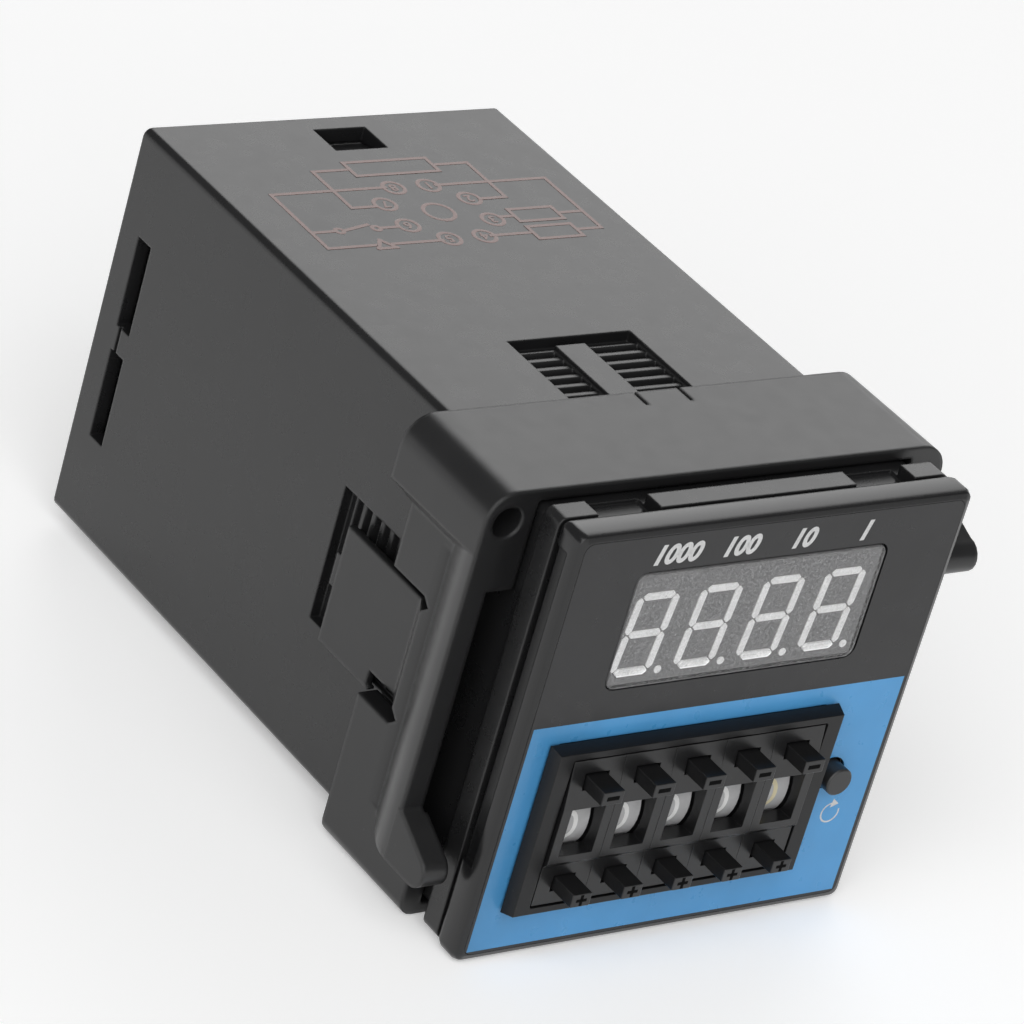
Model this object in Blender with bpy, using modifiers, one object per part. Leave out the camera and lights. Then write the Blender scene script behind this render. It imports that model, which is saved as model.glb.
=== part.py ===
"""Digital counter relay with a pushwheel setting switch, in its panel mounting adapter.

Units are metres. +Z is up, the front faces -Y, and Y = 0 is the plane of the panel that the
case flange sits against, on the axis of the square case.
"""
import math

import bmesh
import bpy
from mathutils import Matrix, Vector

MM = 0.001

# Case and flange
FRONT_SIZE = 48.0 * MM
PANEL_LIP = 1.5 * MM
CASE_LENGTH = 75.1 * MM
CASE_WALL = 1.7 * MM
CASE_CORNER = 0.9 * MM
FLANGE_STEP = 0.3 * MM
FLANGE_THICKNESS = 2.4 * MM
FLANGE_NOTCH_WIDTH = 7.4 * MM
FLANGE_NOTCH_DEPTH = 1.5 * MM
FLANGE_NOTCH_OFFSET = 15.6 * MM

# Gaps: between pieces that touch, and between a shaft and its bore
SEAT = 0.3 * MM
RUNNING = 0.1 * MM

# How far a cutter runs past the face that it opens, and a joined piece into its neighbour
OVERRUN = 1.0 * MM

# Ratchet pocket on each side of the case
POCKET_HALF_WIDTH = 7.6 * MM
POCKET_START = 12.0 * MM
POCKET_END = 29.7 * MM
POCKET_STRIP = 1.5 * MM
POCKET_BAR_LOW = -2.7 * MM
POCKET_BAR_HIGH = 0.9 * MM
CREST_DEPTH = 0.5 * MM
SLOT_DEPTH = 1.2 * MM
SLOT_COUNT = 10
SLOT_PITCH = 1.61 * MM
SLOT_WIDTH = 1.05 * MM
SLOT_SLOPE = 0.3 * MM
SLOT_INSET = 0.15 * MM

# Latch windows near the rear end of the case
LATCH_SETBACK = 4.6 * MM
WIDE_LATCH_WIDTH = 6.5 * MM
WIDE_LATCH_LENGTH = 4.5 * MM
SLIM_LATCH_WIDTH = 10.4 * MM
SLIM_LATCH_LENGTH = 2.5 * MM
SLIM_LATCH_OFFSET = 6.6 * MM
LATCH_GROOVE_WIDTH = 0.5 * MM
LATCH_GROOVE_DEPTH = 0.4 * MM

# Eight pin plug base
BASE_THICKNESS = 3.0 * MM
BASE_SKIRT_WALL = 1.3 * MM
BASE_SKIRT_LENGTH = 8.5 * MM
LATCH_DEPTH = 0.9 * MM
BOSS_RADIUS = 16.3 * MM
BOSS_LENGTH = 4.2 * MM
PIN_COUNT = 8
PIN_CIRCLE_RADIUS = 8.75 * MM
PIN_RADIUS = 1.18 * MM
PIN_LENGTH = 11.0 * MM
PIN_ROOT = 6.0 * MM
PIN_COLLAR = 0.88 * MM
KEY_RADIUS = 3.95 * MM
KEY_LENGTH = 13.4 * MM
KEY_RIB = 1.8 * MM
KEY_RIB_STEP = 1.0 * MM

# Front bezel and label film
BEZEL_THICKNESS = 3.5 * MM
BEZEL_CORNER = 1.0 * MM
BEZEL_EDGE = 0.8 * MM
BEZEL_SKIRT_WALL = 1.2 * MM
BEZEL_SKIRT_LENGTH = 4.8 * MM
FILM_MARGIN = 1.0 * MM
FILM_THICKNESS = 0.25 * MM
REBATE_DEPTH = 0.8 * MM
REBATE_WIDTH = 2.1 * MM
REBATE_LOW = -13.8 * MM
REBATE_HIGH = 21.5 * MM

# Display
WINDOW_X = -0.5 * MM
WINDOW_DROP = 11.4 * MM
WINDOW_WIDTH = 30.0 * MM
WINDOW_HEIGHT = 12.5 * MM
WINDOW_CORNER = 1.0 * MM
WINDOW_THICKNESS = 0.8 * MM
MODULE_DEPTH = 7.2 * MM
BOARD_THICKNESS = 1.6 * MM

# Pushwheel switch bank
CELL_COUNT = 5
CELL_PITCH = 6.15 * MM
CELL_GAP = 0.2 * MM
BANK_X = -2.75 * MM
BANK_RISE = 15.32 * MM
CELL_HEIGHT = 16.4 * MM
CELL_DEPTH = 13.4 * MM
CELL_WALL = 0.75 * MM
CAVITY_SETBACK = 0.1 * MM
FRAME_WIDTH = 35.3 * MM
FRAME_HEIGHT = 19.1 * MM
FRAME_RISE = 1.8 * MM
FRAME_DRAFT = 0.35 * MM
FRAME_SKIRT = 0.6 * MM
FRAME_SKIRT_LENGTH = 4.2 * MM
RIDGE_RISE = 2.2 * MM
HOOD_TOP_RISE = 1.7 * MM
LOWER_FACE_RISE = 1.7 * MM
OPENING_WIDTH = 3.9 * MM
OPENING_HEIGHT = 5.3 * MM
OPENING_RAISE = 0.3 * MM
LIP = 0.8 * MM
LIP_SLOPE = 0.6 * MM

# Number wheels
WHEEL_RADIUS = 4.8 * MM
WHEEL_WIDTH = 3.7 * MM
WHEEL_RECESS = 1.5 * MM
WHEEL_RIM = 0.9 * MM
WHEEL_WEB = 0.8 * MM
HUB_RADIUS = 1.8 * MM
AXLE_RADIUS = 0.8 * MM
DIGIT_COUNT = 10
STAR_RADIUS = 3.2 * MM
STAR_NOTCH = 0.5 * MM
STAR_CREST_SHARE = 0.3
STAR_NOTCH_SHARE = 0.65

# Push buttons
BUTTON_REACH = 2.7 * MM
BUTTON_OFFSET = 5.87 * MM
MINUS_WIDTH = 2.5 * MM
PLUS_WIDTH = 2.3 * MM
BUTTON_HEIGHT = 1.5 * MM
BUTTON_COLLAR = 0.45 * MM
COLLAR_LENGTH = 0.8 * MM
STEM_LENGTH = 1.2 * MM

# Reset button
RESET_X = 16.9 * MM
RESET_Z = -7.8 * MM
RESET_RADIUS = 1.55 * MM
RESET_REACH = 1.9 * MM
RESET_COLLAR = 0.6 * MM

# Panel mounting adapter
ADAPTER_SIDE_WALL = 2.3 * MM
ADAPTER_TOP_WALL = 1.2 * MM
ADAPTER_FRONT = 2.1 * MM
ADAPTER_LENGTH = 14.5 * MM
ADAPTER_EDGE = 1.6 * MM
CORNER_FLARE = 3.4 * MM
PLAIN_CORNER_FLARE = 2.2 * MM
CORNER_RADIUS = 3.2 * MM
CORNER_LOW = 17.2 * MM
CORNER_FOOT = 14.0 * MM
CORNER_HOLE_INSET_X = 2.7 * MM
CORNER_HOLE_INSET_Z = 3.3 * MM
CORNER_HOLE_RADIUS = 1.65 * MM
RAMP_LENGTH = 7.0 * MM
RAMP_STEPS = 6
ARM_THICKNESS = 2.6 * MM
ARM_LOW = -17.0 * MM
ARM_BEND = -11.1 * MM
NOSE_REACH = 5.7 * MM
NOSE_CENTRE = -15.2 * MM
NOSE_RADIUS = 1.8 * MM
NOSE_EXTRA = 0.3 * MM
RIGHT_NOSE_OUT = 1.7 * MM
RIGHT_NOSE_SHIFT = 1.7 * MM
ARM_ROOT = 0.5 * MM
RECESS_TOP = 13.1 * MM
RECESS_LOW = -16.2 * MM
RECESS_END_WIDTH = 2.0 * MM
RECESS_DEPTH = 8.6 * MM
TONGUE_LOW = -5.9 * MM
TONGUE_HIGH = 5.2 * MM
TONGUE_REACH = 9.7 * MM
TONGUE_THICKNESS = 0.8 * MM
TONGUE_FOOT = 2.0 * MM
TONGUE_FOOT_SETBACK = 0.6 * MM
TONGUE_SLIT = 1.7 * MM
TONGUE_SLIT_LENGTH = 5.4 * MM
TAB_LOW = -1.6 * MM
TAB_HIGH = 3.5 * MM
TAB_SLIT = 0.35 * MM
TAB_SLIT_LENGTH = 2.4 * MM
SLIT_TIP = 1.0 * MM
RELIEF_RUN = 2.0 * MM
PAWL_LENGTH = 0.8 * MM

# Circuit boards and the pieces on them
MAIN_BOARD_INSET = 3.2 * MM
MAIN_BOARD_START = 9.5 * MM
MAIN_BOARD_MARGIN = 2.8 * MM
DISPLAY_BOARD_MARGIN = 2.3 * MM
DISPLAY_BOARD_HEIGHT = 15.4 * MM
SWITCH_BOARD_MARGIN = 1.0 * MM
CORE_START = 17.0 * MM
CORE_LENGTH = 22.0 * MM
CORE_DEPTH = 15.0 * MM
CORE_HEIGHT = 20.0 * MM
CORE_Z = -5.0 * MM
COIL_LENGTH = 30.0 * MM
COIL_HEIGHT = 12.0 * MM
COIL_RISE = 3.0 * MM
COIL_SEAT = 1.0 * MM
COIL_EDGE = 1.5 * MM
RELAY_START = 44.0 * MM
RELAY_LENGTH = 20.0 * MM
RELAY_DEPTH = 15.0 * MM
RELAY_HEIGHT = 19.0 * MM
RELAY_Z = -4.5 * MM
RELAY_EDGE = 0.8 * MM
CAPACITOR_RADIUS = 4.0 * MM
CAPACITOR_LENGTH = 14.0 * MM
CAPACITOR_Y = 54.0 * MM
CAPACITOR_Z = -6.0 * MM

# Places worked out from the sizes above
CASE_SIZE = FRONT_SIZE - 2 * PANEL_LIP
FLANGE_SIZE = FRONT_SIZE - 2 * FLANGE_STEP
FILM_SIZE = FRONT_SIZE - 2 * FILM_MARGIN
WINDOW_Z = FRONT_SIZE / 2 - WINDOW_DROP
BANK_Z = -FRONT_SIZE / 2 + BANK_RISE
FLANGE_FRONT = -FLANGE_THICKNESS
BEZEL_REAR = FLANGE_FRONT - SEAT
BEZEL_FRONT = BEZEL_REAR - BEZEL_THICKNESS
FILM_SEAT = BEZEL_FRONT + FILM_THICKNESS + SEAT
LATCH_CENTRE = CASE_LENGTH - LATCH_SETBACK
CASE_INNER = CASE_SIZE - 2 * CASE_WALL
BORE_INNER = CASE_INNER - 2 * SEAT
CELL_FRONT = BEZEL_FRONT - RIDGE_RISE
CELL_REAR = CELL_FRONT + CELL_DEPTH
CELL_WIDTH = CELL_PITCH - CELL_GAP
WHEEL_Y = CELL_FRONT + WHEEL_RECESS + WHEEL_RADIUS
BUTTON_FRONT = CELL_FRONT - BUTTON_REACH
CAVITY_FRONT = BEZEL_FRONT + CAVITY_SETBACK
FIRST_CELL_X = BANK_X - CELL_PITCH * (CELL_COUNT - 1) / 2
ADAPTER_REAR = ADAPTER_FRONT + ADAPTER_LENGTH
ADAPTER_BORE = CASE_SIZE / 2 + SEAT
ADAPTER_HALF_WIDTH = ADAPTER_BORE + ADAPTER_SIDE_WALL
ADAPTER_HALF_HEIGHT = ADAPTER_BORE + ADAPTER_TOP_WALL
CORNER_REACH = ADAPTER_HALF_WIDTH + CORNER_FLARE
CORNER_HOLE_X = CORNER_REACH - CORNER_HOLE_INSET_X
CORNER_HOLE_Z = ADAPTER_HALF_HEIGHT - CORNER_HOLE_INSET_Z
MAIN_BOARD_X = CASE_INNER / 2 - MAIN_BOARD_INSET
MAIN_BOARD_HEIGHT = CASE_INNER - 2 * MAIN_BOARD_MARGIN
DISPLAY_BOARD_WIDTH = CASE_INNER - 2 * DISPLAY_BOARD_MARGIN

COLOURS = {
    "black_case": (0.018, 0.018, 0.019, 0.42, 0.0),
    "black_adapter": (0.022, 0.022, 0.023, 0.34, 0.0),
    "black_gloss": (0.014, 0.014, 0.015, 0.22, 0.0),
    "blue_film": (0.09, 0.36, 0.72, 0.35, 0.0),
    "smoke_window": (0.16, 0.16, 0.165, 0.15, 0.0),
    "grey_wheel": (0.42, 0.42, 0.43, 0.5, 0.0),
    "grey_module": (0.24, 0.24, 0.25, 0.45, 0.0),
    "brass_pin": (0.75, 0.65, 0.38, 0.28, 1.0),
    "board": (0.05, 0.22, 0.09, 0.5, 0.0),
    "steel_core": (0.35, 0.35, 0.36, 0.4, 1.0),
    "relay_cover": (0.12, 0.13, 0.16, 0.4, 0.0),
    "sleeve": (0.03, 0.03, 0.08, 0.35, 0.0),
}


def clear_scene():
    """Empties the scene of objects and of the data that they used."""
    for thing in list(bpy.data.objects):
        bpy.data.objects.remove(thing, do_unlink=True)
    for group in list(bpy.data.collections):
        bpy.data.collections.remove(group)


def material(slot):
    """Returns the Principled material of a colour slot."""
    found = bpy.data.materials.get(slot)
    if found:
        return found
    red, green, blue, roughness, metallic = COLOURS[slot]
    made = bpy.data.materials.new(slot)
    made.use_nodes = True
    shader = made.node_tree.nodes["Principled BSDF"]
    shader.inputs["Base Color"].default_value = (red, green, blue, 1.0)
    shader.inputs["Roughness"].default_value = roughness
    shader.inputs["Metallic"].default_value = metallic
    return made


def link(thing):
    """Puts an object in the scene's own collection while it is being made."""
    bpy.context.scene.collection.objects.link(thing)
    return thing


def baked(thing):
    """Returns a copy of an object's evaluated mesh, welded and with its faces pointing out."""
    graph = bpy.context.evaluated_depsgraph_get()
    graph.update()
    mesh = bpy.data.meshes.new_from_object(thing.evaluated_get(graph))
    shape = bmesh.new()
    shape.from_mesh(mesh)
    bmesh.ops.remove_doubles(shape, verts=shape.verts, dist=0.001 * MM)
    if thing.type == "CURVE":
        flat = math.radians(0.1)
        bmesh.ops.dissolve_limit(shape, angle_limit=flat, verts=shape.verts, edges=shape.edges)
    bmesh.ops.recalc_face_normals(shape, faces=shape.faces)
    shape.to_mesh(mesh)
    shape.free()
    return mesh


def solid(name, thing):
    """Turns an object with modifiers, or a curve, into a plain mesh object at the same place."""
    mesh = baked(thing)
    place = thing.matrix_world.copy()
    bpy.data.objects.remove(thing, do_unlink=True)
    made = link(bpy.data.objects.new(name, mesh))
    made.matrix_world = place
    return made


def box(name, low, high, edge=0.0, segments=3):
    """Makes a box between two corners, with its edges rounded by the radius edge."""
    low, high = Vector(low), Vector(high)
    mesh = bpy.data.meshes.new(name)
    shape = bmesh.new()
    bmesh.ops.create_cube(shape, size=1.0)
    bmesh.ops.scale(shape, vec=high - low, verts=shape.verts)
    shape.to_mesh(mesh)
    shape.free()
    made = link(bpy.data.objects.new(name, mesh))
    made.location = (low + high) / 2
    bpy.context.view_layer.update()
    if edge:
        rounding = made.modifiers.new("edges", "BEVEL")
        rounding.width = edge
        rounding.segments = segments
        made = solid(name, made)
    return made


def arc(centre, radius, start, end, steps):
    """Returns points on an arc between two angles in degrees."""
    points = []
    for step in range(steps + 1):
        angle = math.radians(start + (end - start) * step / steps)
        points.append((centre[0] + radius * math.cos(angle), centre[1] + radius * math.sin(angle)))
    return points


def rounded_rectangle(low, high, radius, steps=4):
    """Returns the outline of a rectangle with round corners, anticlockwise."""
    left, bottom = low[0] + radius, low[1] + radius
    right, top = high[0] - radius, high[1] - radius
    outline = arc((right, top), radius, 0, 90, steps)
    outline += arc((left, top), radius, 90, 180, steps)
    outline += arc((left, bottom), radius, 180, 270, steps)
    outline += arc((right, bottom), radius, 270, 360, steps)
    return outline


def square(size, radius, steps=4):
    """Returns the outline of a square with round corners, centred on the axis."""
    return rounded_rectangle((-size / 2, -size / 2), (size / 2, size / 2), radius, steps)


TURNS = {
    "X": Matrix(((0, 0, 1), (1, 0, 0), (0, 1, 0))).to_4x4(),
    "Y": Matrix(((1, 0, 0), (0, 0, -1), (0, 1, 0))).to_4x4(),
    "Z": Matrix.Identity(4),
}


def extruded(name, outline, axis, start, end, edge=0.0):
    """Extrudes a flat outline along an axis between two stations, rounding its rims by edge.

    The outline is given as (y, z) pairs along X, (x, z) pairs along Y and (x, y) pairs along Z.
    """
    curve = bpy.data.curves.new(name, "CURVE")
    curve.dimensions = "2D"
    curve.fill_mode = "BOTH"
    curve.extrude = abs(end - start) / 2 - edge
    curve.bevel_depth = edge
    curve.bevel_resolution = 1 if edge else 0
    curve.offset = -edge
    line = curve.splines.new("POLY")
    line.points.add(len(outline) - 1)
    for point, (u, v) in zip(line.points, outline):
        point.co = (u, v, 0, 1)
    line.use_cyclic_u = True
    made = link(bpy.data.objects.new(name, curve))
    step = Vector((0, 0, 0))
    step["XYZ".index(axis)] = (start + end) / 2
    made.matrix_world = Matrix.Translation(step) @ TURNS[axis]
    bpy.context.view_layer.update()
    return solid(name, made)


def turned(name, profile, axis, steps, closed=False):
    """Spins a profile of (radius, height) pairs about an axis through the origin."""
    mesh = bpy.data.meshes.new(name)
    joins = [(index, index + 1) for index in range(len(profile) - 1)]
    if closed:
        joins.append((len(profile) - 1, 0))
    mesh.from_pydata([(radius, 0, height) for radius, height in profile], joins, [])
    made = link(bpy.data.objects.new(name, mesh))
    spin = made.modifiers.new("spin", "SCREW")
    spin.steps = steps
    spin.render_steps = steps
    spin.use_merge_vertices = True
    spin.merge_threshold = 0.01 * MM
    made.matrix_world = TURNS[axis]
    bpy.context.view_layer.update()
    return solid(name, made)


def disc(name, radius, axis, start, end, steps=32):
    """Makes a plain cylinder on an axis through the origin."""
    heights = (start, end)
    if axis == "Y":
        heights = (-end, -start)
    profile = [(0, heights[1]), (radius, heights[1]), (radius, heights[0]), (0, heights[0])]
    return turned(name, profile, axis, steps)


def moved(thing, step):
    """Moves an object by a step and returns it."""
    thing.matrix_world = Matrix.Translation(Vector(step)) @ thing.matrix_world
    bpy.context.view_layer.update()
    return thing


def quarter_turns(thing, count):
    """Turns an object by quarter turns about the Y axis and returns it."""
    thing.matrix_world = Matrix.Rotation(count * math.pi / 2, 4, "Y") @ thing.matrix_world
    bpy.context.view_layer.update()
    return thing


def combine(target, other, operation):
    """Applies one Boolean to target and removes the other solid."""
    step = target.modifiers.new("combine", "BOOLEAN")
    step.operation = operation
    step.solver = "EXACT"
    step.object = other
    bpy.context.view_layer.update()
    made = solid(target.name, target)
    bpy.data.objects.remove(other, do_unlink=True)
    return made


def cut(target, *cutters):
    """Cuts each cutter out of the target."""
    for cutter in cutters:
        target = combine(target, cutter, "DIFFERENCE")
    return target


def fuse(target, *others):
    """Joins each other solid to the target."""
    for other in others:
        target = combine(target, other, "UNION")
    return target


def place(thing, name, slot, group, origin=(0, 0, 0)):
    """Names a finished piece, gives it its material and moves its origin onto its own axis."""
    spot = Vector(origin)
    mesh = thing.data
    mesh.transform(Matrix.Translation(-spot) @ thing.matrix_world)
    thing.matrix_world = Matrix.Translation(spot)
    thing.name = name
    mesh.name = name
    mesh.materials.clear()
    mesh.materials.append(material(slot))
    mesh.shade_smooth()
    mesh.set_sharp_from_angle(angle=math.radians(35))
    for holder in list(thing.users_collection):
        holder.objects.unlink(thing)
    group.objects.link(thing)
    bpy.context.view_layer.update()
    return thing


def copied(thing, name, group, step):
    """Adds another object that shares a finished piece's mesh, moved by a step."""
    twin = bpy.data.objects.new(name, thing.data)
    twin.matrix_world = Matrix.Translation(Vector(step)) @ thing.matrix_world
    group.objects.link(twin)
    return twin


def slot_outline():
    """Returns the side outline of the first ratchet slot as (y, z) pairs, with one sloping side."""
    surface = CASE_SIZE / 2
    crest = surface - CREST_DEPTH
    floor = surface - SLOT_DEPTH
    centre = POCKET_END - POCKET_STRIP - SLOT_PITCH * (SLOT_COUNT - 0.5)
    front = centre - SLOT_WIDTH / 2
    rear = centre + SLOT_WIDTH / 2
    outline = [(rear, surface + OVERRUN), (front, surface + OVERRUN), (front, floor)]
    outline += [(rear - SLOT_SLOPE, floor), (rear, crest)]
    return outline


def slot_row(low, high):
    """Returns the cutter of one row of ratchet slots between two stations along X."""
    slot = extruded("slots", slot_outline(), "X", low, high)
    row = slot.modifiers.new("row", "ARRAY")
    row.count = SLOT_COUNT
    row.use_relative_offset = False
    row.use_constant_offset = True
    row.constant_offset_displace = slot.matrix_world.to_3x3().inverted() @ Vector((0, SLOT_PITCH, 0))
    bpy.context.view_layer.update()
    return solid("slots", slot)


def pocket_cutters(turns):
    """Returns the cutters of the ratchet pocket on one side of the case."""
    surface = CASE_SIZE / 2
    crest = surface - CREST_DEPTH
    cutters = []
    for low, high in ((-POCKET_HALF_WIDTH, POCKET_BAR_LOW), (POCKET_BAR_HIGH, POCKET_HALF_WIDTH)):
        top = (high, POCKET_END - POCKET_STRIP / 2, surface + OVERRUN)
        cutters.append(box("row", (low, POCKET_START, crest), top))
        cutters.append(slot_row(low + SLOT_INSET, high - SLOT_INSET))
    strip_low = (-POCKET_HALF_WIDTH, POCKET_END - POCKET_STRIP, surface - SLOT_DEPTH)
    strip_high = (POCKET_HALF_WIDTH, POCKET_END, surface + 2 * OVERRUN)
    cutters.append(box("strip", strip_low, strip_high))
    return [quarter_turns(cutter, turns) for cutter in cutters]


def latch_boxes(turns, inner, outer, slack):
    """Returns the boxes of one side's latches, or of their windows when slack is positive."""
    if turns % 2 == 0:
        spans = [(0, WIDE_LATCH_WIDTH, WIDE_LATCH_LENGTH)]
    else:
        spans = [(side * SLIM_LATCH_OFFSET, SLIM_LATCH_WIDTH, SLIM_LATCH_LENGTH) for side in (-1, 1)]
    boxes = []
    for centre, width, length in spans:
        low = (centre - width / 2 + slack, LATCH_CENTRE - length / 2 + slack, inner)
        high = (centre + width / 2 - slack, LATCH_CENTRE + length / 2 - slack, outer)
        boxes.append(box("latch", low, high))
    return boxes


def latch_windows(turns):
    """Returns the cutters of one side's latch windows, and of the groove that joins two in line."""
    surface = CASE_SIZE / 2
    cutters = latch_boxes(turns, CASE_INNER / 2 - OVERRUN, surface + OVERRUN, 0)
    if turns % 2:
        reach = SLIM_LATCH_OFFSET - SLIM_LATCH_WIDTH / 2 + SEAT
        rear = LATCH_CENTRE + SLIM_LATCH_LENGTH / 2 - LATCH_GROOVE_WIDTH
        low = (-reach, rear - LATCH_GROOVE_WIDTH, surface - LATCH_GROOVE_DEPTH)
        cutters.append(box("groove", low, (reach, rear, surface + 2 * OVERRUN)))
    return [quarter_turns(cutter, turns) for cutter in cutters]


def latch_wedges(turns):
    """Returns the rear base's latches on one side, each sloping down to the rear."""
    reach = CASE_INNER / 2 + LATCH_DEPTH
    wedges = latch_boxes(turns, BORE_INNER / 2 - BASE_SKIRT_WALL / 2, reach, SEAT)
    for wedge in wedges:
        for corner in wedge.data.vertices:
            if corner.co.y > 0 and corner.co.z > 0:
                corner.co.z -= LATCH_DEPTH
    return [quarter_turns(wedge, turns) for wedge in wedges]


def build_case(group):
    """Square tube with its front flange, ratchet pockets and latch windows."""
    case = extruded("case", square(CASE_SIZE, CASE_CORNER), "Y", -SEAT, CASE_LENGTH)
    flange = extruded("flange", square(FLANGE_SIZE, CASE_CORNER), "Y", FLANGE_FRONT, 0)
    case = fuse(case, flange)
    bore = square(CASE_INNER, SEAT, 2)
    case = cut(case, extruded("bore", bore, "Y", FLANGE_FRONT - OVERRUN, CASE_LENGTH + OVERRUN))
    for turns in range(4):
        case = cut(case, *pocket_cutters(turns))
        case = cut(case, *latch_windows(turns))
    for side in (-1, 1):
        for edge in (-1, 1):
            middle = side * FLANGE_NOTCH_OFFSET
            reach = edge * FLANGE_SIZE / 2
            low = (middle - FLANGE_NOTCH_WIDTH / 2, FLANGE_FRONT - OVERRUN, reach - FLANGE_NOTCH_DEPTH)
            high = (middle + FLANGE_NOTCH_WIDTH / 2, OVERRUN, reach + FLANGE_NOTCH_DEPTH)
            case = cut(case, box("notch", low, high))
    return place(case, "case", "black_case", group)


def pin_spots():
    """Returns the (x, z) place of each pin on its circle, spaced evenly from beside the key."""
    spots = []
    for index in range(PIN_COUNT):
        angle = math.radians(-90 + 360 / PIN_COUNT * (index + 0.5))
        spots.append((PIN_CIRCLE_RADIUS * math.cos(angle), PIN_CIRCLE_RADIUS * math.sin(angle)))
    return spots


def build_rear_base(group):
    """Rear closing plate with its skirt and latches, the round boss and the keyed post."""
    plate_front = CASE_LENGTH - BASE_THICKNESS
    outline = square(BORE_INNER, SEAT, 2)
    base = extruded("rear_base", outline, "Y", CASE_LENGTH - BASE_SKIRT_LENGTH, CASE_LENGTH)
    hollow = square(BORE_INNER - 2 * BASE_SKIRT_WALL, SEAT, 2)
    base = cut(base, extruded("hollow", hollow, "Y", 0, plate_front))
    for turns in range(4):
        base = fuse(base, *latch_wedges(turns))
    boss_end = CASE_LENGTH + BOSS_LENGTH
    base = fuse(base, disc("boss", BOSS_RADIUS, "Y", plate_front + OVERRUN, boss_end, 48))
    post_end = boss_end + KEY_LENGTH
    post = disc("post", KEY_RADIUS, "Y", boss_end - OVERRUN, post_end, 24)
    rib_low = (-KEY_RIB / 2, boss_end - OVERRUN, -KEY_RADIUS - KEY_RIB / 2)
    rib_high = (KEY_RIB / 2, post_end - KEY_RIB_STEP, -KEY_RADIUS / 2)
    post = fuse(post, box("rib", rib_low, rib_high))
    base = fuse(base, post)
    for x, z in pin_spots():
        hole = disc("hole", PIN_RADIUS + SEAT, "Y", 0, boss_end + OVERRUN, 16)
        base = cut(base, moved(hole, (x, 0, z)))
    return place(base, "rear_base", "black_case", group)


def build_pins(group):
    """Round contact pins with domed ends and a collar seated in the base plate."""
    start = CASE_LENGTH - PIN_ROOT
    end = CASE_LENGTH + BOSS_LENGTH + PIN_LENGTH
    collar = PIN_RADIUS + PIN_COLLAR
    collar_rear = CASE_LENGTH - BASE_THICKNESS - SEAT
    profile = [(0, -start), (collar, -start), (collar, -collar_rear), (PIN_RADIUS, -collar_rear)]
    profile += [(x, -end + PIN_RADIUS + z) for x, z in arc((0, 0), PIN_RADIUS, 0, -90, 4)]
    profile[-1] = (0, -end)
    first = None
    for index, (x, z) in enumerate(pin_spots()):
        name = f"contact_pin_{index + 1}"
        if first is None:
            first = place(turned(name, profile, "Y", 16), name, "brass_pin", group)
            first.location = (x, 0, z)
            start_spot = Vector((x, 0, z))
            bpy.context.view_layer.update()
        else:
            copied(first, name, group, Vector((x, 0, z)) - start_spot)


def bank_outline(slack):
    """Returns the outline of the switch frame's skirt, grown by slack, as (x, z) pairs."""
    half_width = (CELL_COUNT * CELL_PITCH - CELL_GAP) / 2 + SEAT + FRAME_SKIRT + slack
    half_height = CELL_HEIGHT / 2 + SEAT + FRAME_SKIRT + slack
    low = (BANK_X - half_width, BANK_Z - half_height)
    high = (BANK_X + half_width, BANK_Z + half_height)
    return rounded_rectangle(low, high, SEAT, 2)


def window_outline(slack):
    """Returns the outline of the display window, grown by slack, as (x, z) pairs."""
    half_width = WINDOW_WIDTH / 2 + slack
    half_height = WINDOW_HEIGHT / 2 + slack
    low = (WINDOW_X - half_width, WINDOW_Z - half_height)
    high = (WINDOW_X + half_width, WINDOW_Z + half_height)
    return rounded_rectangle(low, high, WINDOW_CORNER + slack)


def build_bezel(group):
    """Front frame with its label recess, openings, side rebates and the skirt inside the case."""
    outline = square(FRONT_SIZE, BEZEL_CORNER)
    bezel = extruded("bezel", outline, "Y", BEZEL_FRONT, BEZEL_REAR, BEZEL_EDGE)
    skirt_end = BEZEL_REAR + BEZEL_SKIRT_LENGTH
    skirt = square(BORE_INNER, SEAT, 2)
    bezel = fuse(bezel, extruded("skirt", skirt, "Y", BEZEL_REAR - OVERRUN, skirt_end))
    hollow = square(BORE_INNER - 2 * BEZEL_SKIRT_WALL, SEAT, 2)
    bezel = cut(bezel, extruded("hollow", hollow, "Y", BEZEL_REAR - SEAT, skirt_end + OVERRUN))
    front = BEZEL_FRONT - OVERRUN
    rear = BEZEL_REAR + OVERRUN
    recess = square(FILM_SIZE + SEAT, BEZEL_CORNER)
    bezel = cut(bezel, extruded("recess", recess, "Y", front, FILM_SEAT))
    bezel = cut(bezel, extruded("bank", bank_outline(SEAT), "Y", front, rear))
    bezel = cut(bezel, extruded("window", window_outline(SEAT), "Y", front, rear))
    hole = disc("hole", RESET_RADIUS + SEAT, "Y", front, rear, 24)
    bezel = cut(bezel, moved(hole, (RESET_X, 0, RESET_Z)))
    for side in (-1, 1):
        reach = side * FRONT_SIZE / 2
        low = (reach - REBATE_DEPTH, BEZEL_REAR - REBATE_WIDTH, REBATE_LOW)
        high = (reach + REBATE_DEPTH, rear, REBATE_HIGH)
        bezel = cut(bezel, box("rebate", low, high))
    return place(bezel, "bezel", "black_gloss", group)


def build_film(group):
    """Printed label film over the front, open at the display, the switch bank and the button."""
    rear = BEZEL_FRONT + FILM_THICKNESS
    film = extruded("front_film", square(FILM_SIZE, BEZEL_CORNER), "Y", BEZEL_FRONT, rear)
    start = BEZEL_FRONT - OVERRUN
    end = rear + OVERRUN
    film = cut(film, extruded("bank", bank_outline(SEAT), "Y", start, end))
    film = cut(film, extruded("window", window_outline(SEAT), "Y", start, end))
    hole = disc("hole", RESET_RADIUS + SEAT, "Y", start, end, 24)
    film = cut(film, moved(hole, (RESET_X, 0, RESET_Z)))
    return place(film, "front_film", "blue_film", group)


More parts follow.
